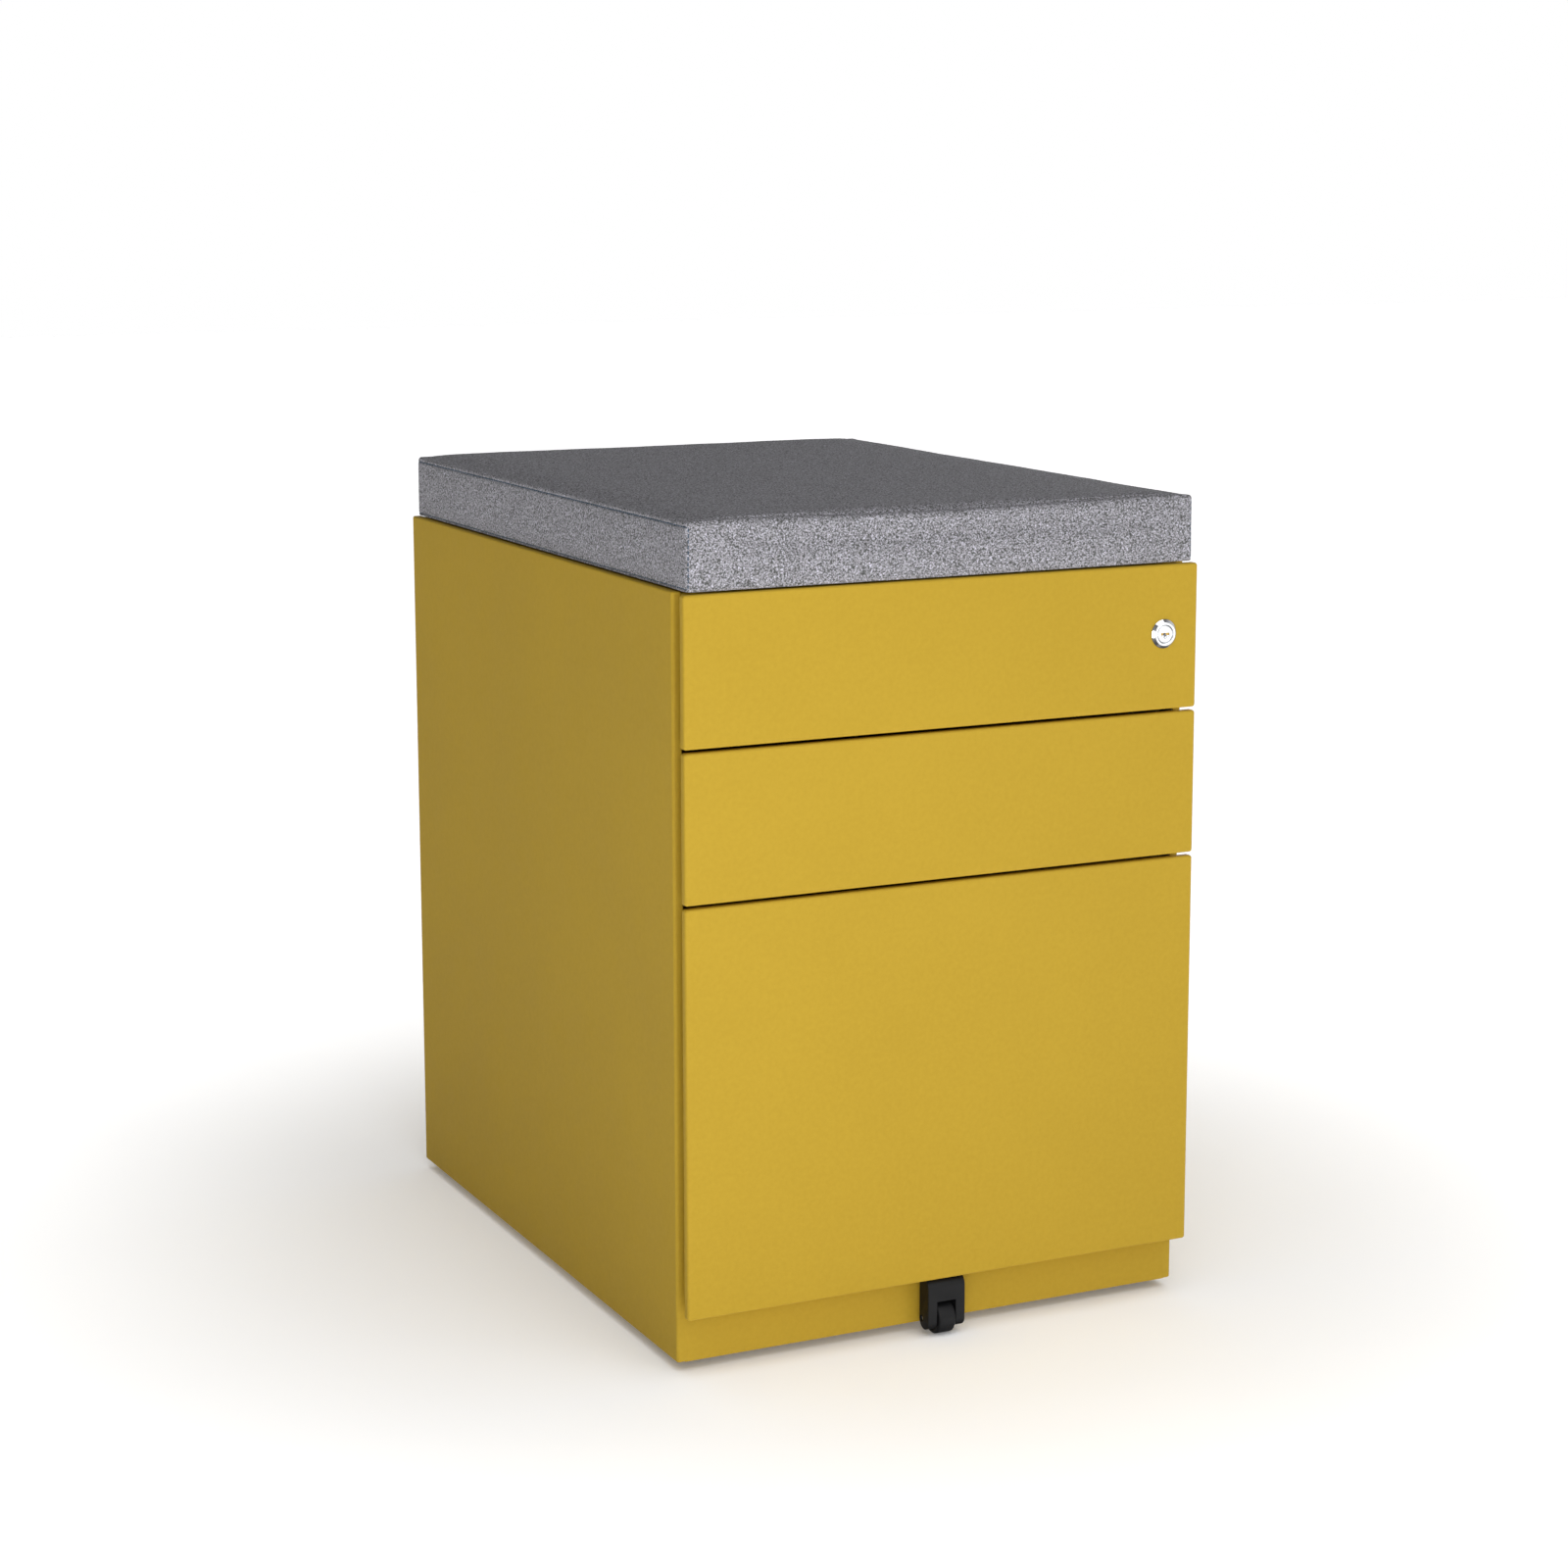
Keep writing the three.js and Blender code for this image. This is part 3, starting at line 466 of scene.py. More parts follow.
def plain_object(name, verts, faces):
    """An object that belongs to no body, such as the floor or a cutting tool."""
    obj = bpy.data.objects.new(name, outward_mesh(name, verts, faces))
    SCENE.collection.objects.link(obj)
    return obj


def round_edges(obj, width, segments, angle):
    """Adds a bevel to the edges sharper than angle degrees."""
    rounding = obj.modifiers.new("edges", "BEVEL")
    rounding.width = width
    rounding.segments = segments
    rounding.limit_method = "ANGLE"
    rounding.angle_limit = math.radians(angle)
    rounding.use_clamp_overlap = True
    return rounding


def carve(body_mesh, cutters, bevel, segments, angle):
    """The mesh of body minus cutters, its edges rounded by a bevel."""
    body = plain_object("carve_body", *body_mesh)
    tools = [plain_object(f"carve_tool_{i}", *cutter) for i, cutter in enumerate(cutters)]
    for tool in tools:
        cut = body.modifiers.new("cut", "BOOLEAN")
        cut.operation = "DIFFERENCE"
        cut.solver = "EXACT"
        cut.object = tool
    round_edges(body, bevel, segments, angle)
    graph = bpy.context.evaluated_depsgraph_get()
    mesh = bpy.data.meshes.new_from_object(body.evaluated_get(graph))
    for obj in (body, *tools):
        bpy.data.objects.remove(obj)
    return mesh


# ---------------------------------------------------------------- carried-over CAD nodes
PAINTED_PANELS = (
    "left_side_panel", "right_side_panel", "top_panel", "back_panel", "base_pan", "front_plinth",
)
PAINTED_DRAWER_PARTS = ("front", "inner_pan", "tray")
DRAWERS = (1, 2, 3)
SIDES = (("left", -1), ("right", 1))


def dress(node, material, edge=None, bevel=0.3 * MM):
    """Rounds a CAD node's sharp edges with modifiers and gives it its material; an edge material,
    where given, paints a highlight on the rounding.
    """
    obj = NODES[node]
    mesh = obj.data
    for name in ("custom_normal", "sharp_edge", "sharp_face"):
        if name in mesh.attributes:
            mesh.attributes.remove(mesh.attributes[name])
    mesh.shade_smooth()
    mesh.materials.clear()
    mesh.materials.append(material)
    mesh.materials.append(edge or material)
    weld = obj.modifiers.new("weld", "WELD")
    weld.merge_threshold = 0.02 * MM
    flat = obj.modifiers.new("flat", "DECIMATE")
    flat.decimate_type = "DISSOLVE"
    flat.angle_limit = math.radians(0.4)
    rounding = round_edges(obj, bevel, segments=2, angle=36)
    # The rounding takes the edge material, a painted highlight along the edges.
    rounding.material = 1 if edge else -1
    rounding.miter_outer = "MITER_ARC"
    shade = obj.modifiers.new("shade", "WEIGHTED_NORMAL")
    shade.keep_sharp = False
    shade.weight = 90


def dress_all():
    for panel in PAINTED_PANELS:
        dress(panel, PAINT, PAINT_EDGE_HIGHLIGHT)
    for number in DRAWERS:
        for part in PAINTED_DRAWER_PARTS:
            dress(f"drawer_{number}_{part}", PAINT, PAINT_EDGE_HIGHLIGHT)
    for node in NODES:
        if node.endswith("_upright") or node.startswith("lock_bar"):
            dress(node, STEEL_UP)
        elif "_slide_" in node or node.startswith("file_rail"):
            dress(node, STEEL)
        elif node.endswith(("_castor_plate", "_castor_fork")):
            dress(node, STEEL_UP, bevel=0.4 * MM)
    for node in ("lock_nut", "lock_cam", "anti_tip_axle"):
        dress(node, STEEL)
    dress("cushion_board", PLYWOOD, bevel=0.6 * MM)
    dress("grip_mat", RUBBER, bevel=0.5 * MM)


dress_all()

# ---------------------------------------------------------------- seat cushion
CUSHION_LO, CUSHION_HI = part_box("seat_cushion")
TUCK = 1.4 * MM  # the filling starts this much smaller than the full cover
START_LO = CUSHION_LO + Vector((TUCK, TUCK, 0))
START_HI = CUSHION_HI - Vector((TUCK, TUCK, TUCK))
PLAN_R, TOP_R, BOTTOM_R = 2.8 * MM, 4.4 * MM, 1.5 * MM
EDGE_BAND = 9 * MM  # the mesh is fine this near the edges
SAG, SAG_BAND = 1.7 * MM, 11 * MM  # the cover droops along the rim of the board, and how far in
MOVE_CAP = (1.7 * MM, 1.7 * MM, 2.4 * MM)  # the most that the filling pushes the cover out
VOXEL = 5 * MM
CLOTH_FRAMES = 20

# The seam round each side panel of the cover, and the groove that it pulls.
SEAM_FROM_TOP = 5.2 * MM
SEAM_FROM_BOTTOM = 0.7 * MM
SEAM_FROM_FRONT = 2.4 * MM
SEAM_Y = (CUSHION_LO.y + SEAM_FROM_FRONT, CUSHION_HI.y - SEAM_FROM_FRONT)
SEAM_Z = (CUSHION_LO.z + SEAM_FROM_BOTTOM, CUSHION_HI.z - SEAM_FROM_TOP)
GROOVE_WIDTH, GROOVE_DEPTH = 0.8 * MM, 0.95 * MM
DIP_WIDTH, DIP_DEPTH = 3.6 * MM, 0.30 * MM
PUCKER_WIDTH, PUCKER_DEPTH, PUCKER_LENGTH = 6.5 * MM, 0.10 * MM, 7.6 * MM
STITCH_PITCH, STITCH_LENGTH, STITCH_R = 3.8 * MM, 2.9 * MM, 0.42 * MM


def spacing(lo, hi, coarse, fine, fine_spans):
    """Grid lines from lo to hi: fine steps inside fine_spans and coarse steps elsewhere."""
    cuts = sorted({lo, hi, *[c for span in fine_spans for c in span if lo < c < hi]})
    lines = [lo]
    for a, b in zip(cuts, cuts[1:]):
        middle = (a + b) / 2
        step = fine if any(s <= middle <= e for s, e in fine_spans) else coarse
        count = max(1, round((b - a) / step))
        lines += [a + (b - a) * (i + 1) / count for i in range(count)]
    return lines


def shell(xs, ys, zs):
    """Quads over the outside of a box whose grid lines are given."""
    index, verts, faces = {}, [], []
    counts = (len(xs) - 1, len(ys) - 1, len(zs) - 1)

    def corner(key):
        if key not in index:
            index[key] = len(verts)
            verts.append(Vector((xs[key[0]], ys[key[1]], zs[key[2]])))
        return index[key]

    for fixed in (2, 1, 0):
        first, second = [axis for axis in range(3) if axis != fixed]
        for level in (0, counts[fixed]):
            for i in range(counts[first]):
                for j in range(counts[second]):
                    face = []
                    for step_i, step_j in ((0, 0), (1, 0), (1, 1), (0, 1)):
                        key = {fixed: level, first: i + step_i, second: j + step_j}
                        face.append(corner((key[0], key[1], key[2])))
                    faces.append(face)
    return verts, faces


def rounded(point):
    """Moves a point of the starting box's surface onto the box with rounded edges."""
    lo, hi = START_LO, START_HI
    rz = TOP_R if point.z > (lo.z + hi.z) / 2 else BOTTOM_R
    core = Vector((
        min(max(point.x, lo.x + PLAN_R), hi.x - PLAN_R),
        min(max(point.y, lo.y + PLAN_R), hi.y - PLAN_R),
        min(max(point.z, lo.z + BOTTOM_R), hi.z - TOP_R),
    ))
    away = point - core
    away = Vector((away.x / PLAN_R, away.y / PLAN_R, away.z / rz))
    if away.length < 1e-9:
        return point.copy()
    away.normalize()
    return core + Vector((away.x * PLAN_R, away.y * PLAN_R, away.z * rz))


def cushion_surface(coarse, fine):
    """The cushion before it is filled, with fine rows along its edges and seams."""
    lines = []
    for lo, hi, upper_band in zip(START_LO, START_HI, (EDGE_BAND, EDGE_BAND, 1.4 * EDGE_BAND)):
        spans = [(lo, lo + EDGE_BAND), (hi - upper_band, hi)]
        lines.append(spacing(lo, hi, coarse, fine, spans))
    verts, faces = shell(*lines)
    return [rounded(v) for v in verts], faces


def pin_weight(point):
    """1 along the bottom, which rests on the board, less along the upper side seams, else 0."""
    if point[2] < START_LO.z + 2.5 * MM:
        return 1.0
    if abs(point[2] - SEAM_Z[1]) < 4 * MM and abs(point[0]) > START_HI.x - 1.5 * MM:
        return 0.8
    return 0.0


def inflate():
    """Fills the cover by cloth simulation.

    Returns the remeshed pad's points before it, its polygons, each point's move and a lookup tree.
    """
    verts, faces = cushion_surface(8 * MM, 3 * MM)
    pad = plain_object("filling", verts, faces)
    remesh = pad.modifiers.new("remesh", "REMESH")
    remesh.mode = "VOXEL"
    remesh.voxel_size = VOXEL
    graph = bpy.context.evaluated_depsgraph_get()
    mesh = bpy.data.meshes.new_from_object(pad.evaluated_get(graph))
    pad.modifiers.clear()
    pad.data = mesh
    rest = np.empty(len(mesh.vertices) * 3)
    mesh.vertices.foreach_get("co", rest)
    rest = rest.reshape(-1, 3)
    polygons = [tuple(p.vertices) for p in mesh.polygons]
    pins = pad.vertex_groups.new(name="pins")
    for i, point in enumerate(rest):
        weight = pin_weight(point)
        if weight:
            pins.add([i], weight, "REPLACE")
    cloth = pad.modifiers.new("cloth", "CLOTH")
    settings = cloth.settings
    settings.quality = 6
    settings.mass = 0.4
    settings.tension_stiffness = 15
    settings.compression_stiffness = 15
    settings.shear_stiffness = 6
    settings.bending_stiffness = 1.0
    settings.use_pressure = True
    settings.uniform_pressure_force = 4.0
    settings.vertex_group_mass = "pins"
    settings.pin_stiffness = 1.0
    settings.effector_weights.gravity = 0.0
    cloth.collision_settings.use_collision = False
    cloth.collision_settings.use_self_collision = False
    cloth.point_cache.frame_start = 1
    cloth.point_cache.frame_end = CLOTH_FRAMES
    for frame_number in range(1, CLOTH_FRAMES + 1):
        SCENE.frame_set(frame_number)
    graph = bpy.context.evaluated_depsgraph_get()
    filled = pad.evaluated_get(graph)
    moved = np.empty(len(filled.data.vertices) * 3)
    filled.data.vertices.foreach_get("co", moved)
    move = moved.reshape(-1, 3) - rest
    SCENE.frame_set(1)
    bpy.data.objects.remove(pad)
    tree = BVHTree.FromPolygons([Vector(v) for v in rest], polygons)
    return rest, polygons, move, tree


def blended_move(point, rest, polygons, move, tree):
    """The filling's move at the surface point nearest to point."""
    hit, _, face, _ = tree.find_nearest(point)
    total, weights = np.zeros(3), 0.0
    for i in polygons[face]:
        w = 1.0 / (1e-5 + (Vector(rest[i]) - hit).length)
        total += w * move[i]
        weights += w
    return Vector(total / weights)


def seam_distance(point):
    """Distance to the nearest side seam and the run along it, for a point on a side face."""
    (y0, y1), (z0, z1) = SEAM_Y, SEAM_Z
    y = min(max(point.y, y0), y1)
    z = min(max(point.z, z0), z1)
    best = None
    for near, run in (
        (Vector((0, y, z0)), y - y0),
        (Vector((0, y1, z)), (y1 - y0) + z - z0),
        (Vector((0, y, z1)), (y1 - y0) * 2 + (z1 - z0) - y),
        (Vector((0, y0, z)), (y1 - y0) * 2 + (z1 - z0) * 2 - z),
    ):
        gap = Vector((0, point.y - near.y, point.z - near.z)).length
        if best is None or gap < best[0]:
            best = (gap, run)
    return best


def quick_move(u, w, t):
    crown = max(0.0, 1 - u ** 4) * max(0.0, 1 - w ** 4)
    belly = math.sin(math.pi * min(max(t, 0), 1)) * MM
    move = Vector((0, 0, 1.9 * MM * crown * t))
    move.x += math.copysign(belly, u) if abs(u) > 0.985 else 0.0
    move.y += math.copysign(belly, w) if abs(w) > 0.985 else 0.0
    return move


def bell(distance, width):
    return math.exp(-((distance / width) ** 2))


def seam_pull(point):
    """How deep the side seam draws the cover in at a point, with small puckers along it."""
    gap, run = seam_distance(point)
    pull = bell(gap, GROOVE_WIDTH) * GROOVE_DEPTH + bell(gap, DIP_WIDTH) * DIP_DEPTH
    pucker = bell(gap, PUCKER_WIDTH) * (0.4 + noise.noise(Vector((run * 60, 3.1, 0))))
    return pull + pucker * math.sin(2 * math.pi * run / PUCKER_LENGTH) * PUCKER_DEPTH


def build_cushion():
    """The upholstered cover: filled, drooping at its rim, softly uneven, drawn in at its seams."""
    coarse, fine = ((2.6 * MM, 0.7 * MM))
    verts, faces = cushion_surface(coarse, fine)
    filling = inflate()
    height = START_HI.z - START_LO.z
    centre = (START_LO + START_HI) / 2
    half = (START_HI - START_LO) / 2
    shaped = []
    for v in verts:
        u, w = (v.x - centre.x) / half.x, (v.y - centre.y) / half.y
        t = (v.z - START_LO.z) / height
        if filling:
            move = blended_move(v, *filling)
            move = Vector([cap * math.tanh(part / cap) for part, cap in zip(move, MOVE_CAP)])
        else:
            move = quick_move(u, w, t)
        p = v + move
        inward = min(START_HI.x - abs(v.x), START_HI.y - v.y, v.y - START_LO.y)
        rim = 1.0 - inward / SAG_BAND
        if rim > 0 and t < 0.5:
            p.z -= SAG * rim * rim * (3 - 2 * rim) * (1 - 2 * t) ** 2
        soft = noise.noise(v * 14.0) * 0.35 + noise.noise(v * 38.0) * 0.16
        outward = Vector((u ** 9, w ** 9, (2 * t - 1) ** 5))
        if outward.length > 1e-6:
            p += outward.normalized() * soft * MM * min(1.0, t * 4)
        if abs(v.x) > START_HI.x - 4 * MM:
            p.x -= math.copysign(seam_pull(p), v.x)
        shaped.append(p)
    cushion = make("seat_cushion_cover", shaped, faces, FABRIC, "carcass", 70)
    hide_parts("seat_cushion")
    return cushion


STITCH_SIDES = 7
# Place along a stitch in lengths, thickness in radii and lift off the cloth in radii.
STITCH_STATIONS = (
    (-0.5, 0.25, -0.55), (-0.42, 0.8, -0.12), (-0.2, 1.0, 0.12), (0.0, 1.05, 0.2),
    (0.2, 1.0, 0.12), (0.42, 0.8, -0.12), (0.5, 0.25, -0.55),
)


def tube_faces(rings, count):
    """Quads between rings of count vertices, one ring after the other."""
    faces = []
    for k in range(rings - 1):
        for i in range(count):
            j = (i + 1) % count
            faces.append([k * count + i, k * count + j, (k + 1) * count + j, (k + 1) * count + i])
    return faces


def stitch(at, along, out):
    """One stitch: a short thread that dips into the cloth at both ends."""
    side = along.cross(out).normalized()
    verts = []
    for run, thick, lift in STITCH_STATIONS:
        middle = at + along * (run * STITCH_LENGTH) + out * (lift * STITCH_R)
        for i in range(STITCH_SIDES):
            a = 2 * math.pi * i / STITCH_SIDES
            reach = side * math.cos(a) + out * math.sin(a) * 0.85
            verts.append(middle + reach * STITCH_R * thick)
    faces = tube_faces(len(STITCH_STATIONS), STITCH_SIDES)
    last = (len(STITCH_STATIONS) - 1) * STITCH_SIDES
    faces.append(list(range(STITCH_SIDES))[::-1])
    faces.append([last + i for i in range(STITCH_SIDES)])
    return verts, faces


def build_stitching(cushion):
    """Single stitches along the seam round each side panel."""
    tree = BVHTree.FromObject(cushion, bpy.context.evaluated_depsgraph_get())
    (y0, y1), (z0, z1) = SEAM_Y, SEAM_Z
    runs = [
        (Vector((0, y0, z0)), Vector((0, y1, z0))), (Vector((0, y0, z1)), Vector((0, y1, z1))),
        (Vector((0, y0, z0)), Vector((0, y0, z1))), (Vector((0, y1, z0)), Vector((0, y1, z1))),
    ]
    parts = []
    for _, side in SIDES:
        out = Vector((side, 0, 0))
        for start, end in runs:
            length = (end - start).length
            count = int(length / STITCH_PITCH)
            along = (end - start).normalized()
            for i in range(count):
                at = start + along * (i + 0.5) * length / count
                hit = tree.ray_cast(Vector((side * 0.4, at.y, at.z)), -out)[0]
                if hit is not None:
                    parts.append(stitch(hit + out * 0.12 * MM, along, out))
    verts, faces = merge(parts)
    make("seat_cushion_stitching", verts, faces, THREAD, "carcass", 80)


build_stitching(build_cushion())

# ---------------------------------------------------------------- lock
LOCK_LO, LOCK_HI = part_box("lock_housing")
PLUG_LO, PLUG_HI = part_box("lock_plug")
LOCK_AXIS = Vector((centre_of("lock_housing").x, 0, centre_of("lock_housing").z))
LOCK_BORE_R, LOCK_FACE_R, LOCK_HEAD_R, LOCK_BARREL_R = 6.85 * MM, 8.8 * MM, 11.0 * MM, 7.75 * MM
LOCK_HEAD_BACK = LOCK_LO.y + 2.2 * MM
PLUG_R, PLUG_NECK_R, PLUG_TAIL_R = 6.6 * MM, 3 * MM, 5 * MM
KEY_HALF, KEY_HALF_HEIGHT, KEY_DEPTH = 3.7 * MM, 0.95 * MM, 1.0 * MM
KEY_HOLE_R, KEY_HOLE_DROP, KEY_HOLE_DEPTH = 1.3 * MM, 0.55 * MM, 14 * MM
CUT_START = 2 * MM  # a cutting tool starts this far outside what it cuts
TURNED_SEGMENTS = 96


def build_lock_housing():
    front, back = LOCK_LO.y, LOCK_HI.y
    bore, face_r, head_r, barrel = LOCK_BORE_R, LOCK_FACE_R, LOCK_HEAD_R, LOCK_BARREL_R
    profile = [
        (bore, front + 0.35 * MM), (bore + 0.12 * MM, front + 0.1 * MM), (bore + 0.4 * MM, front),
        (face_r - 0.5 * MM, front), (face_r - 0.1 * MM, front + 0.06 * MM),
        (face_r + 0.25 * MM, front + 0.25 * MM),
        (head_r - 0.5 * MM, LOCK_HEAD_BACK - 0.62 * MM),
        (head_r - 0.12 * MM, LOCK_HEAD_BACK - 0.42 * MM),
        (head_r, LOCK_HEAD_BACK - 0.25 * MM), (head_r, LOCK_HEAD_BACK), (barrel, LOCK_HEAD_BACK),
        (barrel, back - 0.3 * MM), (barrel - 0.3 * MM, back), (bore, back),
    ]
    verts, faces = lathe(profile, "y", LOCK_AXIS, TURNED_SEGMENTS, closed=True)
    housing = make("lock_housing_turned", verts, faces, CHROME, "drawer_1", 40)
    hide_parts("lock_housing")


def build_lock_plug():
    """The key plug, with a shallow key slot lined in gold metal as a painted reflection of the
    yellow paint, and a round hole through its middle.
    """
    front, neck, back = PLUG_LO.y, LOCK_HI.y, PLUG_HI.y
    collar = neck + 2.6 * MM
    plug = lathe([
        (0, front), (PLUG_R - 0.9 * MM, front), (PLUG_R - 0.35 * MM, front + 0.08 * MM),
        (PLUG_R - 0.08 * MM, front + 0.28 * MM), (PLUG_R, front + 0.5 * MM), (PLUG_R, neck),
        (PLUG_NECK_R, neck), (PLUG_NECK_R, collar), (PLUG_TAIL_R, collar),
        (PLUG_TAIL_R, back - 0.3 * MM), (PLUG_TAIL_R - 0.3 * MM, back), (0, back),
    ], "y", LOCK_AXIS, TURNED_SEGMENTS)
    slot = prism([
        (-KEY_HALF, -KEY_HALF_HEIGHT), (KEY_HALF, -KEY_HALF_HEIGHT),
        (KEY_HALF, KEY_HALF_HEIGHT), (-KEY_HALF, KEY_HALF_HEIGHT),
    ], "y", front - CUT_START, front + KEY_DEPTH, LOCK_AXIS)
    hole = lathe([
        (0, front - CUT_START), (KEY_HOLE_R, front - CUT_START),
        (KEY_HOLE_R, front + KEY_HOLE_DEPTH), (0, front + KEY_HOLE_DEPTH),
    ], "y", LOCK_AXIS - Vector((0, 0, KEY_HOLE_DROP)), 24)
    mesh = carve(plug, [slot, hole], bevel=0.15 * MM, segments=2, angle=50)
    piece = finish_piece("lock_plug_turned", mesh, CHROME, "lock_cylinder", 40)
    # Painted reflection: the key slot's walls and floor get a gold metal that stands in for the
    # yellow paint reflected in them.
    mesh.materials.append(KEYWAY_REFLECTION)
    for polygon in mesh.polygons:
        middle = polygon.center - LOCK_AXIS
        inside = abs(middle.x) < KEY_HALF + 0.2 * MM and abs(middle.z) < 2.2 * MM
        if inside and front + 0.25 * MM < middle.y < front + 1.5 * MM:
            polygon.material_index = 1
    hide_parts("lock_plug")


build_lock_housing()
build_lock_plug()

# ---------------------------------------------------------------- anti-tip wheel
TIP_LO, TIP_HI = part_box("anti_tip_housing")
TIP_WHEEL_LO, TIP_WHEEL_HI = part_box("anti_tip_wheel")
TIP_CENTRE = centre_of("anti_tip_wheel")
TIP_BACK = TIP_LO.y + 14 * MM
TIP_BROW_R, TIP_LOBE_R, TIP_LOBE_DROP = 8 * MM, 7 * MM, 2 * MM
TIP_SLOT_TOP, TIP_SLOT_GAP = 27.6 * MM, 0.6 * MM
TIP_AXLE_R = 2.3 * MM
CUT_PAST = 5 * MM  # the slot and bore tools reach this far past the moulding
STEM_HALF = 10 * MM
DRAWER_3_LO, DRAWER_3_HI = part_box("drawer_3_front")
TIP_TOP = DRAWER_3_LO.z - 0.3 * MM


def wheel_profile(near_half, middle=()):
    """A closed profile: one half's (radius, height) points, the middle ones and the other half."""
    far_half = [(radius, -height) for radius, height in reversed(near_half)]
    return [*near_half, *middle, *far_half]


def build_anti_tip_housing():
    """The black moulding: a rounded brow, two round lobes and a slot for the wheel."""
    front = TIP_LO.y
    lobe_z = TIP_LO.z + TIP_LOBE_R - TIP_LOBE_DROP
    outline = arc(front + TIP_BROW_R, TIP_TOP - TIP_BROW_R, TIP_BROW_R, 180, 90, 12)
    outline += [(TIP_BACK, TIP_TOP)]
    outline += arc(front + TIP_LOBE_R, lobe_z, TIP_LOBE_R, 0, -180, 22)
    x0, x1 = TIP_LO.x, TIP_HI.x
    slot_half = (TIP_WHEEL_HI.x - TIP_WHEEL_LO.x) / 2 + TIP_SLOT_GAP
    slot = prism([
        (front - CUT_PAST, 0), (TIP_BACK + CUT_PAST, 0),
        (TIP_BACK + CUT_PAST, TIP_SLOT_TOP), (front - CUT_PAST, TIP_SLOT_TOP),
    ], "x", TIP_CENTRE.x - slot_half, TIP_CENTRE.x + slot_half)
    bore = lathe([
        (0, x0 - CUT_PAST), (TIP_AXLE_R, x0 - CUT_PAST),
        (TIP_AXLE_R, x1 + CUT_PAST), (0, x1 + CUT_PAST),
    ], "x", Vector((0, TIP_CENTRE.y, TIP_CENTRE.z)), 32)
    mesh = carve(prism(outline, "x", x0, x1), [slot, bore], bevel=0.8 * MM, segments=4, angle=32)
    housing = finish_piece("anti_tip_fork_moulding", mesh, PLASTIC, "drawer_3", 50)
    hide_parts("anti_tip_housing")


def build_anti_tip_stem():
    """The block behind the drawer front that the moulding is screwed to."""
    y0, y1 = DRAWER_3_HI.y + 0.3 * MM, TIP_BACK - 1 * MM
    z0, z1 = TIP_TOP - 1 * MM, TIP_HI.z
    block = prism([(y0, z0), (y1, z0), (y1, z1), (y0, z1)], "x",
                  TIP_CENTRE.x - STEM_HALF, TIP_CENTRE.x + STEM_HALF)
    mesh = carve(block, [], bevel=0.4 * MM, segments=2, angle=30)
    finish_piece("anti_tip_fixing_stem", mesh, PLASTIC, "drawer_3", 50)


def build_anti_tip_wheel():
    half = (TIP_WHEEL_HI.x - TIP_WHEEL_LO.x) / 2
    r = (TIP_WHEEL_HI.z - TIP_WHEEL_LO.z) / 2
    profile = wheel_profile([
        (2.3 * MM, -half + 0.4 * MM), (2.5 * MM, -half + 0.15 * MM), (4.2 * MM, -half + 0.15 * MM),
        (4.4 * MM, -half + 0.9 * MM), (r - 3.6 * MM, -half + 1.1 * MM),
        (r - 2.6 * MM, -half + 0.3 * MM), (r - 1.7 * MM, -half), (r - 0.7 * MM, -half + 0.3 * MM),
        (r - 0.15 * MM, -half + 1.0 * MM), (r, -half + 1.9 * MM),
    ], middle=[(r, 0)])
    verts, faces = lathe(profile, "x", TIP_CENTRE, 72, closed=True)
    wheel = make("anti_tip_roller", verts, faces, PLASTIC, "anti_tip_wheel", 40)
    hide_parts("anti_tip_wheel")


build_anti_tip_housing()
build_anti_tip_stem()
build_anti_tip_wheel()

# ---------------------------------------------------------------- castors and screws
CASTORS = [f"{end}_{side}_castor" for end in ("front", "rear") for side in ("left", "right")]
CASTOR_SCREW_SPREAD = 16 * MM  # from the plate's middle, each way
SCREW_POINTS = 24
SCREW_DOME = ((1.0, 0.0), (1.0, 0.35), (0.93, 0.68), (0.72, 0.92), (0.45, 1.0))  # radius and rise


def screw_head(at, out, radius, height):
    """A domed screw head standing on a surface, with a cross recess."""
    side = out.orthogonal().normalized()
    up = out.cross(side)
    verts = []

    def ring(rise, radial, arm_radial):
        for i in range(SCREW_POINTS):
            a = 2 * math.pi * i / SCREW_POINTS
            reach = radius * (arm_radial if i % 6 in (0, 1, 5) else radial)
            spoke = side * math.cos(a) + up * math.sin(a)
            verts.append(at + spoke * reach + out * (height * rise))

    for radial, rise in SCREW_DOME:
        ring(rise, radial, radial)
    ring(0.96, 0.17, 0.40)
    ring(0.3, 0.12, 0.30)
    faces = tube_faces(len(SCREW_DOME) + 2, SCREW_POINTS)
    faces.append(list(range(len(verts) - SCREW_POINTS, len(verts))))
    faces.append(list(range(SCREW_POINTS))[::-1])
    return verts, faces


def screw_row(name, places, out, radius, height, body, material=STEEL_UP):
    verts, faces = merge([screw_head(at, out, radius, height) for at in places])
    make(name, verts, faces, material, body, 40)


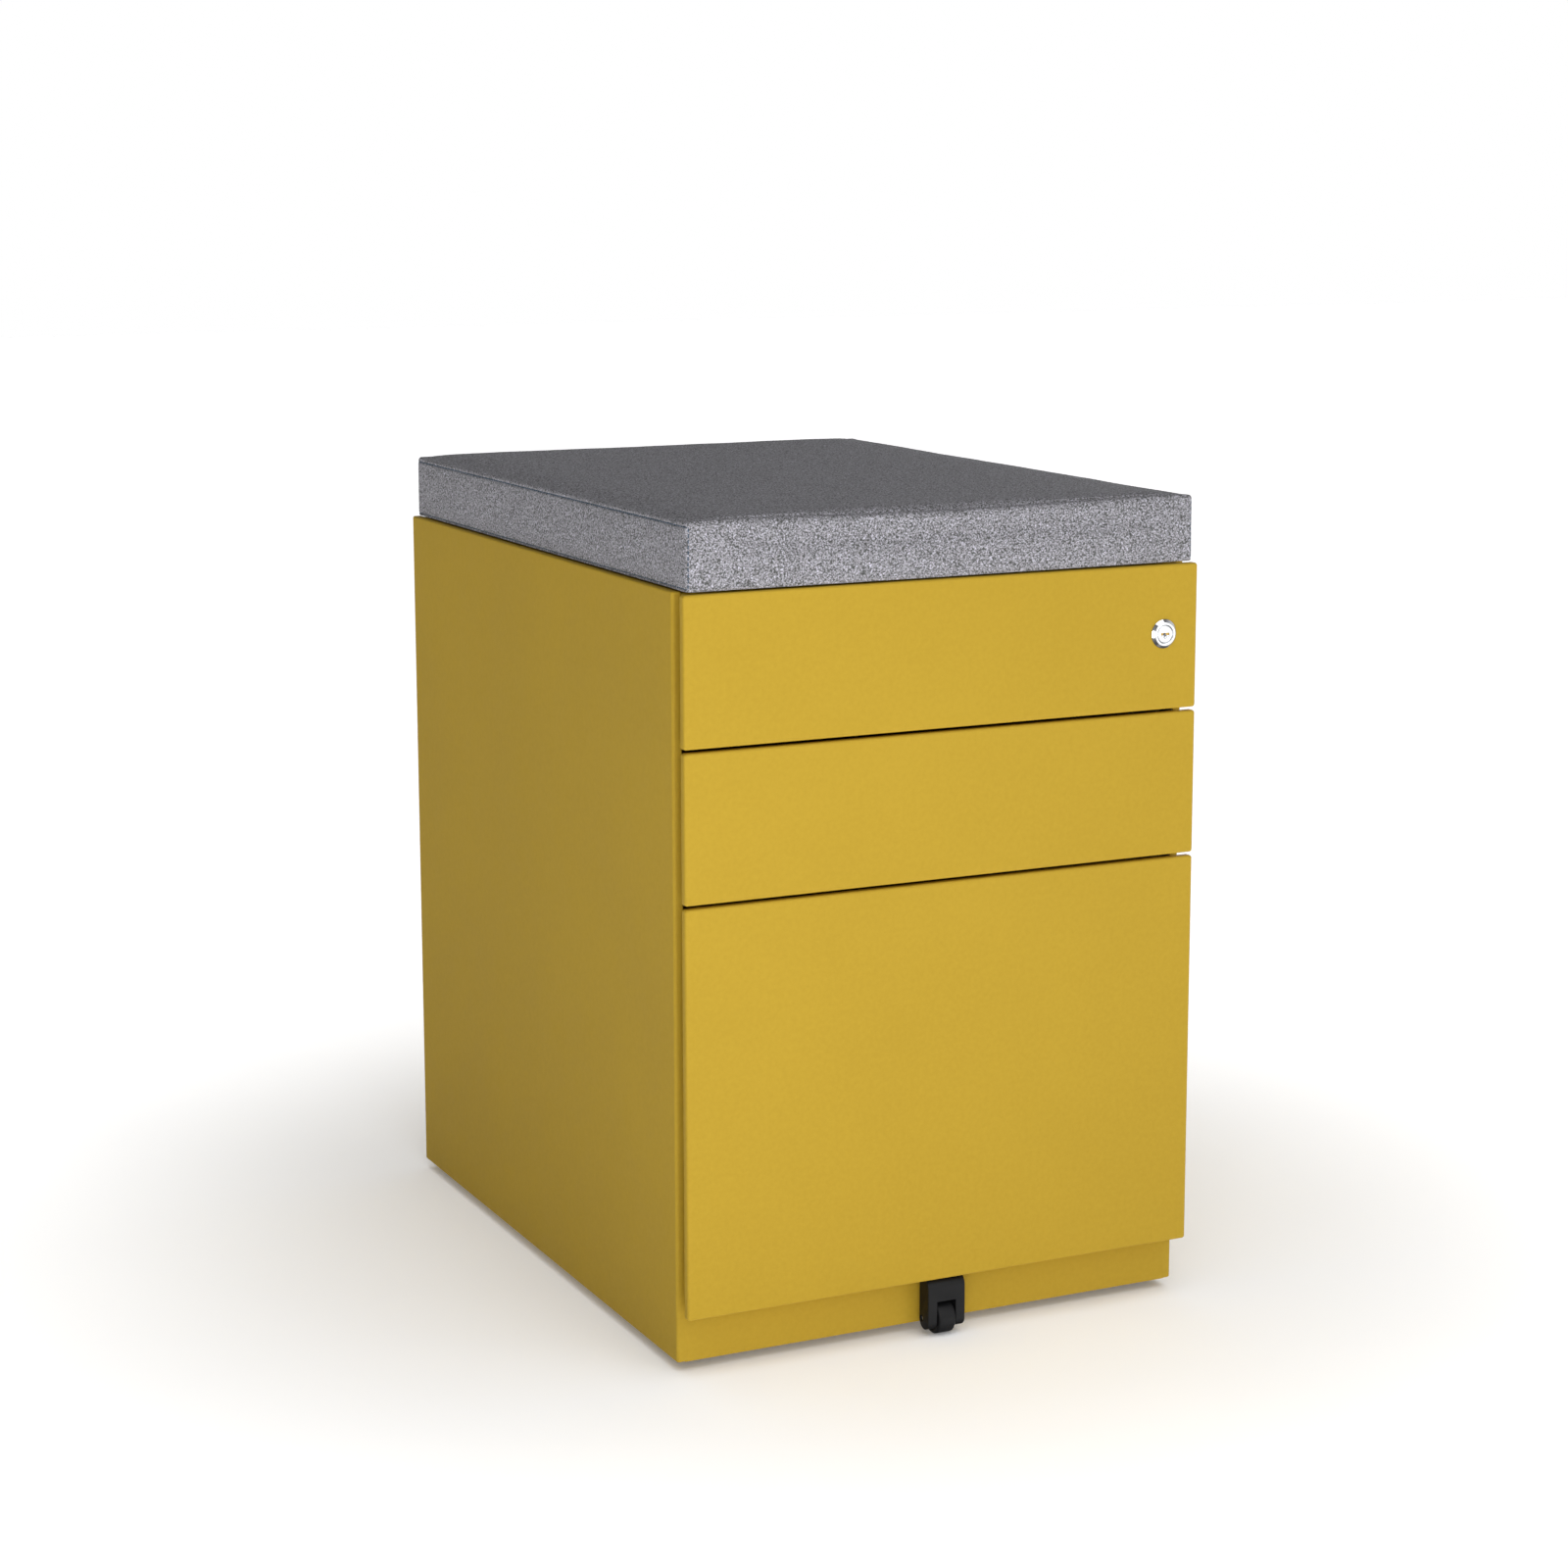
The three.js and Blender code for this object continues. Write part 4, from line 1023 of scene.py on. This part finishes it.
def build_castor_wheel(castor):
    """A castor's wheel: hub, dished sides and a tread with a moulding groove round its middle."""
    lo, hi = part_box(f"{castor}_wheel")
    half, r = (hi.x - lo.x) / 2, (hi.z - lo.z) / 2
    profile = wheel_profile([
        (2.85 * MM, -half + 0.3 * MM), (3.1 * MM, -half), (5.0 * MM, -half),
        (5.4 * MM, -half + 1.3 * MM), (r - 4.6 * MM, -half + 1.5 * MM),
        (r - 3.6 * MM, -half + 0.5 * MM), (r - 2.2 * MM, -half), (r - 0.9 * MM, -half + 0.5 * MM),
        (r - 0.2 * MM, -half + 1.4 * MM), (r, -half + 2.6 * MM),
        (r, -0.6 * MM), (r - 0.35 * MM, -0.3 * MM),
    ])
    verts, faces = lathe(profile, "x", (lo + hi) / 2, 64, closed=True)
    wheel = make(f"{castor}_tyre", verts, faces, TREAD, f"{castor}_wheel", 40)
    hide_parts(f"{castor}_wheel")


def build_castor_screws(castor):
    middle = centre_of(f"{castor}_plate")
    middle.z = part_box(f"{castor}_plate")[1].z - 2 * MM
    places = [
        middle + Vector((across, along, 0)) * CASTOR_SCREW_SPREAD
        for across in (-1, 1) for along in (-1, 1)
    ]
    screw_row(f"{castor}_screws", places, Vector((0, 0, -1)), 3.4 * MM, 1.8 * MM, "carcass")


for castor_name in CASTORS:
    build_castor_wheel(castor_name)
    build_castor_screws(castor_name)

# ---------------------------------------------------------------- slide hardware and small fixings
SHEET_WALL = 1.2 * MM  # wall of the slide members
BALLS, BALL_PITCH, BALL_R, BALL_GAP = 12, 11 * MM, 1.4 * MM, 1.5 * MM
CAGE_HALF, CAGE_WALL_HALF = 2.6 * MM, 0.35 * MM
LIP_HALF, LIP_WALL_HALF, LIP_INSET = 0.8 * MM, 0.3 * MM, 1 * MM
CAGE_START = 4 * MM  # from the member's front end
REAR_CAGE_START = 150 * MM  # before the member's rear end
TRAY_SCREWS_FRONT, TRAY_SCREWS_REAR = (34 * MM, 162 * MM), 60 * MM
WELD_PROFILE = (
    (0, 0.02 * MM), (1.6 * MM, 0.05 * MM), (2.2 * MM, 0.34 * MM), (2.7 * MM, 0.46 * MM),
    (3.2 * MM, 0.34 * MM), (4.0 * MM, 0.0), (4.0 * MM, -0.3 * MM), (0, -0.3 * MM),
)
WELD_ROWS = 8


def ball(at):
    profile = [(0, -BALL_R), *arc(0, 0, BALL_R, -67.5, 67.5, 6), (0, BALL_R)]
    return lathe(profile, "z", at, 10)


def strip(x, half_x, y0, y1, z, half_z):
    """A flat bar along Y round the line at x and z."""
    outline = [(y0, z - half_z), (y1, z - half_z), (y1, z + half_z), (y0, z + half_z)]
    return prism(outline, "x", x - half_x, x + half_x)


def ball_cage(name, body, member, x, y0):
    """Two rows of balls in pressed strips, on the upper and lower edge of a slide member."""
    lo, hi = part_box(member)
    y1 = y0 + (BALLS + 0.6) * BALL_PITCH
    parts = []
    for z in (lo.z - BALL_GAP, hi.z + BALL_GAP):
        parts.append(strip(x, CAGE_HALF, y0, y1, z, CAGE_WALL_HALF))
        for side in (-1, 1):
            edge = x + side * CAGE_HALF
            parts.append(strip(edge, LIP_WALL_HALF, y0 + LIP_INSET, y1 - LIP_INSET, z, LIP_HALF))
        parts += [ball(Vector((x, y0 + (i + 0.8) * BALL_PITCH, z))) for i in range(BALLS)]
    verts, faces = merge(parts)
    make(name, verts, faces, STEEL, body, 30)


def build_slide_hardware(number, side_name, side):
    """The screws of one side's slide members and the balls that run between them."""
    prefix = f"drawer_{number}_{side_name}_slide"
    lo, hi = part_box(f"{prefix}_inner")
    outer_lo, outer_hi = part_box(f"{prefix}_outer")
    z = (lo.z + hi.z) / 2
    web = min(abs(lo.x), abs(hi.x)) + SHEET_WALL
    outer_web = max(abs(outer_lo.x), abs(outer_hi.x)) - SHEET_WALL
    out = Vector((side, 0, 0))
    tray_screws = [lo.y + place for place in TRAY_SCREWS_FRONT] + [hi.y - TRAY_SCREWS_REAR]
    uprights = [centre_of(f"{side_name}_{end}_upright").y for end in ("front", "rear")]
    screw_row(f"{prefix}_screws", [Vector((side * web, y, z)) for y in tray_screws],
              out, 3.3 * MM, 1.5 * MM, f"drawer_{number}")
    screw_row(f"{prefix}_fixings", [Vector((side * outer_web, y, z)) for y in uprights],
              -out, 3.1 * MM, 1.2 * MM, "carcass")
    if number == 3:
        ball_cage(f"{prefix}_rear_cage", "drawer_3_slide_middles", f"{prefix}_inner",
                  side * (web + 2.1 * MM), hi.y - REAR_CAGE_START)
        ball_cage(f"{prefix}_front_cage", "carcass", f"{prefix}_middle",
                  side * (outer_web - 3.2 * MM), lo.y + CAGE_START)
    else:
        ball_cage(f"{prefix}_cage", "carcass", f"{prefix}_inner",
                  side * (web + outer_web) / 2, lo.y + CAGE_START)


def spot_weld(at, axis, out):
    """A shallow ring pressed by the electrodes, standing on a sheet."""
    return lathe([(r, out * h) for r, h in WELD_PROFILE], axis, at, 28)


def build_back_welds():
    lo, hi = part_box("back_panel")
    first, last = lo.z + 34 * MM, hi.z - 34 * MM
    rows = [first + i * (last - first) / (WELD_ROWS - 1) for i in range(WELD_ROWS)]
    columns = (lo.x + 12 * MM, hi.x - 12 * MM)
    verts, faces = merge([spot_weld(Vector((x, hi.y, z)), "y", 1) for x in columns for z in rows])
    make("back_panel_spot_welds", verts, faces, PAINT, "carcass", 60)


def build_tray_welds(number):
    """Welds on the sides of a tray near its corners, clear of the slides."""
    lo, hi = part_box(f"drawer_{number}_tray")
    slide_lo, slide_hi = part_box(f"drawer_{number}_left_slide_inner")
    tray_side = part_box("drawer_1_right_slide_inner")[0].x - 0.3 * MM
    levels = [
        z for z in (lo.z + 6 * MM, hi.z - 7 * MM)
        if not slide_lo.z - 5 * MM < z < slide_hi.z + 5 * MM
    ]
    if number == 3:
        levels += [lo.z + 60 * MM, hi.z - 60 * MM]
    verts, faces = merge([
        spot_weld(Vector((side * tray_side, y, z)), "x", side)
        for _, side in SIDES for y in (lo.y + 9 * MM, hi.y - 9 * MM) for z in levels
    ])
    make(f"drawer_{number}_spot_welds", verts, faces, PAINT, f"drawer_{number}",
         60)


def build_plinth_weld(side_name, side):
    """The painted fillet that closes the corner between the plinth and a side panel."""
    lo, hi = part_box("front_plinth")
    edge = side * (hi.x + 0.15 * MM)
    section = ((-1.0, 0.45), (-0.9, 0.02), (-0.3, -0.05), (0.3, -0.05), (0.9, 0.02), (1.0, 0.45))
    outline = [(edge + u * MM, lo.y + v * MM) for u, v in section]
    verts, faces = prism(outline, "z", lo.z + 0.2 * MM, hi.z - 0.1 * MM)
    make(f"plinth_{side_name}_weld", verts, faces, PAINT, "carcass", 60)


for drawer_number in DRAWERS:
    for name_of_side, sign in SIDES:
        build_slide_hardware(drawer_number, name_of_side, sign)
build_back_welds()
for drawer_number in DRAWERS:
    build_tray_welds(drawer_number)
for name_of_side, sign in SIDES:
    build_plinth_weld(name_of_side, sign)
screw_row("lock_cam_screw", [LOCK_AXIS + Vector((0, PLUG_HI.y - 0.2 * MM, 0))],
          Vector((0, 1, 0)), 3.9 * MM, 1.9 * MM, "lock_cylinder", STEEL)

# ---------------------------------------------------------------- floor, light and camera
FLOOR_HALF = 14
KEY_POWER, FILL_POWER, REAR_POWER = 10.6, 4.0, 16.0
TOP_STRENGTH, FLOOR_STRENGTH = 0.93, 1.67
WORLD_BASE, WORLD_FRONT = 0.035, 0.06
MIRROR_GREY, MIRROR_LEFT, MIRROR_PATCH = 0.6, 0.3, 0.8  # seen in reflections only

floor = plain_object("floor", [
    (-FLOOR_HALF, -FLOOR_HALF, 0), (FLOOR_HALF, -FLOOR_HALF, 0),
    (FLOOR_HALF, FLOOR_HALF, 0), (-FLOOR_HALF, FLOOR_HALF, 0),
], [[0, 1, 2, 3]])
floor.data.materials.append(FLOOR)
floor.visible_glossy = False


def aimed(name, lamp, place, target):
    obj = bpy.data.objects.new(name, lamp)
    obj.location = place
    obj.rotation_mode = "QUATERNION"
    obj.rotation_quaternion = (Vector(target) - Vector(place)).to_track_quat("-Z", "Y")
    SCENE.collection.objects.link(obj)
    return obj


def softbox(name, place, target, width, height, power):
    lamp = bpy.data.lights.new(name, "AREA")
    lamp.shape = "RECTANGLE"
    lamp.size, lamp.size_y = width, height
    lamp.energy = power
    return aimed(name, lamp, place, target)


def soft_sun(name, direction, strength, angle):
    """A broad soft light that arrives along direction."""
    lamp = bpy.data.lights.new(name, "SUN")
    lamp.energy = strength
    lamp.angle = math.radians(angle)
    return aimed(name, lamp, (0, 0, 3), Vector((0, 0, 3)) + Vector(direction))


def link_floor(lamp, state):
    """Lets a lamp reach only the floor (INCLUDE) or everything but the floor (EXCLUDE)."""
    receivers = bpy.data.collections.new(f"{lamp.name}_receivers")
    receivers.objects.link(floor)
    receivers.collection_objects[0].light_linking.link_state = state
    lamp.light_linking.receiver_collection = receivers


def light_scene():
    """A key light in front, a fill on the left side, soft light from above and one from behind."""
    softbox("key_softbox", place=(0.7, -2.7, 1.35), target=(0.0, -0.28, 0.34),
            width=2.2, height=1.3, power=KEY_POWER)
    softbox("fill_softbox", place=(-0.60, -1.30, 0.36), target=(-0.21, -0.2, 0.3),
            width=0.5, height=0.8, power=FILL_POWER)
    soft_sun("top_light", direction=(0.0, 0.5, -1.0), strength=TOP_STRENGTH, angle=50)
    overhead = soft_sun("floor_light", direction=(0.05, 0.08, -1.0),
                        strength=FLOOR_STRENGTH, angle=100)
    rear = softbox("rear_softbox", place=(1.9, 1.9, 0.62), target=(0.1, 0.15, 0.3),
                   width=0.9, height=0.7, power=REAR_POWER)
    link_floor(overhead, "INCLUDE")
    link_floor(rear, "EXCLUDE")


light_scene()


def studio_world():
    """White to the camera, an even base as a light, and a soft grey studio that metal mirrors."""
    s = Shader("studio", world=True)
    direction = s.add("ShaderNodeTexCoord").outputs["Generated"]
    x, y, z = s.add("ShaderNodeSeparateXYZ", {0: direction}).outputs
    low = s.remap(z, -0.1, 0.9, 1.0, 0.0, smooth=True)
    frontal = s.remap(y, -1.0, 0.6, 1.0, 0.0, smooth=True)
    light = s.math("MULTIPLY", s.math("MULTIPLY", low, frontal), WORLD_FRONT)
    light = s.math("ADD", light, WORLD_BASE)

    level_band = s.remap(s.math("ABSOLUTE", z), 0.4, 0.85, MIRROR_GREY, 0.04, smooth=True)
    left = s.remap(x, 0.1, -0.25, 1.0, MIRROR_LEFT, smooth=True)
    patch = s.math("MULTIPLY", s.remap(z, 0.02, -0.02), s.remap(y, -0.3, -0.6))
    patch = s.math("MULTIPLY", s.math("MULTIPLY", patch, s.remap(x, -0.1, 0.15)), MIRROR_PATCH)
    mirrored = s.math("ADD", s.math("MULTIPLY", level_band, left), patch)

    path = s.add("ShaderNodeLightPath")
    level = s.math("ADD", light, s.math("MULTIPLY", mirrored, path.outputs["Is Glossy Ray"]))
    lit = s.add("ShaderNodeBackground", {"Color": (1, 1, 1, 1), "Strength": level})
    seen = s.add("ShaderNodeBackground", {"Color": (1, 1, 1, 1), "Strength": 1.0})
    mixed = s.add("ShaderNodeMixShader", {
        0: path.outputs["Is Camera Ray"], 1: lit.outputs[0], 2: seen.outputs[0],
    })
    output = s.add("ShaderNodeOutputWorld")
    s.tree.links.new(mixed.outputs[0], output.inputs[0])
    SCENE.world = s.block


studio_world()

# The camera stands in front of the left corner, above the seat, and looks slightly down.
CAMERA_AT = Vector((-1.1048, -2.3060, 0.8679))
CAMERA_YAW, CAMERA_PITCH, CAMERA_ROLL = (math.radians(a) for a in (-25.644, 9.578, -0.109))
CAMERA_LENS, CAMERA_SHIFT = 74.19, -0.05


def add_camera():
    level = math.cos(CAMERA_PITCH)
    forward = Vector((
        -math.sin(CAMERA_YAW) * level, math.cos(CAMERA_YAW) * level, -math.sin(CAMERA_PITCH),
    ))
    right = Vector((math.cos(CAMERA_YAW), math.sin(CAMERA_YAW), 0))
    up = right.cross(forward)
    cos_roll, sin_roll = math.cos(CAMERA_ROLL), math.sin(CAMERA_ROLL)
    right, up = right * cos_roll + up * sin_roll, up * cos_roll - right * sin_roll
    data = bpy.data.cameras.new("camera")
    data.sensor_width = 36
    data.lens = CAMERA_LENS
    data.shift_y = CAMERA_SHIFT
    data.clip_start, data.clip_end = 0.05, 60
    camera = bpy.data.objects.new("camera", data)
    turn = Matrix((right, up, -forward)).transposed()
    camera.matrix_world = Matrix.Translation(CAMERA_AT) @ turn.to_4x4()
    SCENE.collection.objects.link(camera)
    SCENE.camera = camera


add_camera()
SCENE.view_settings.view_transform = "Standard"
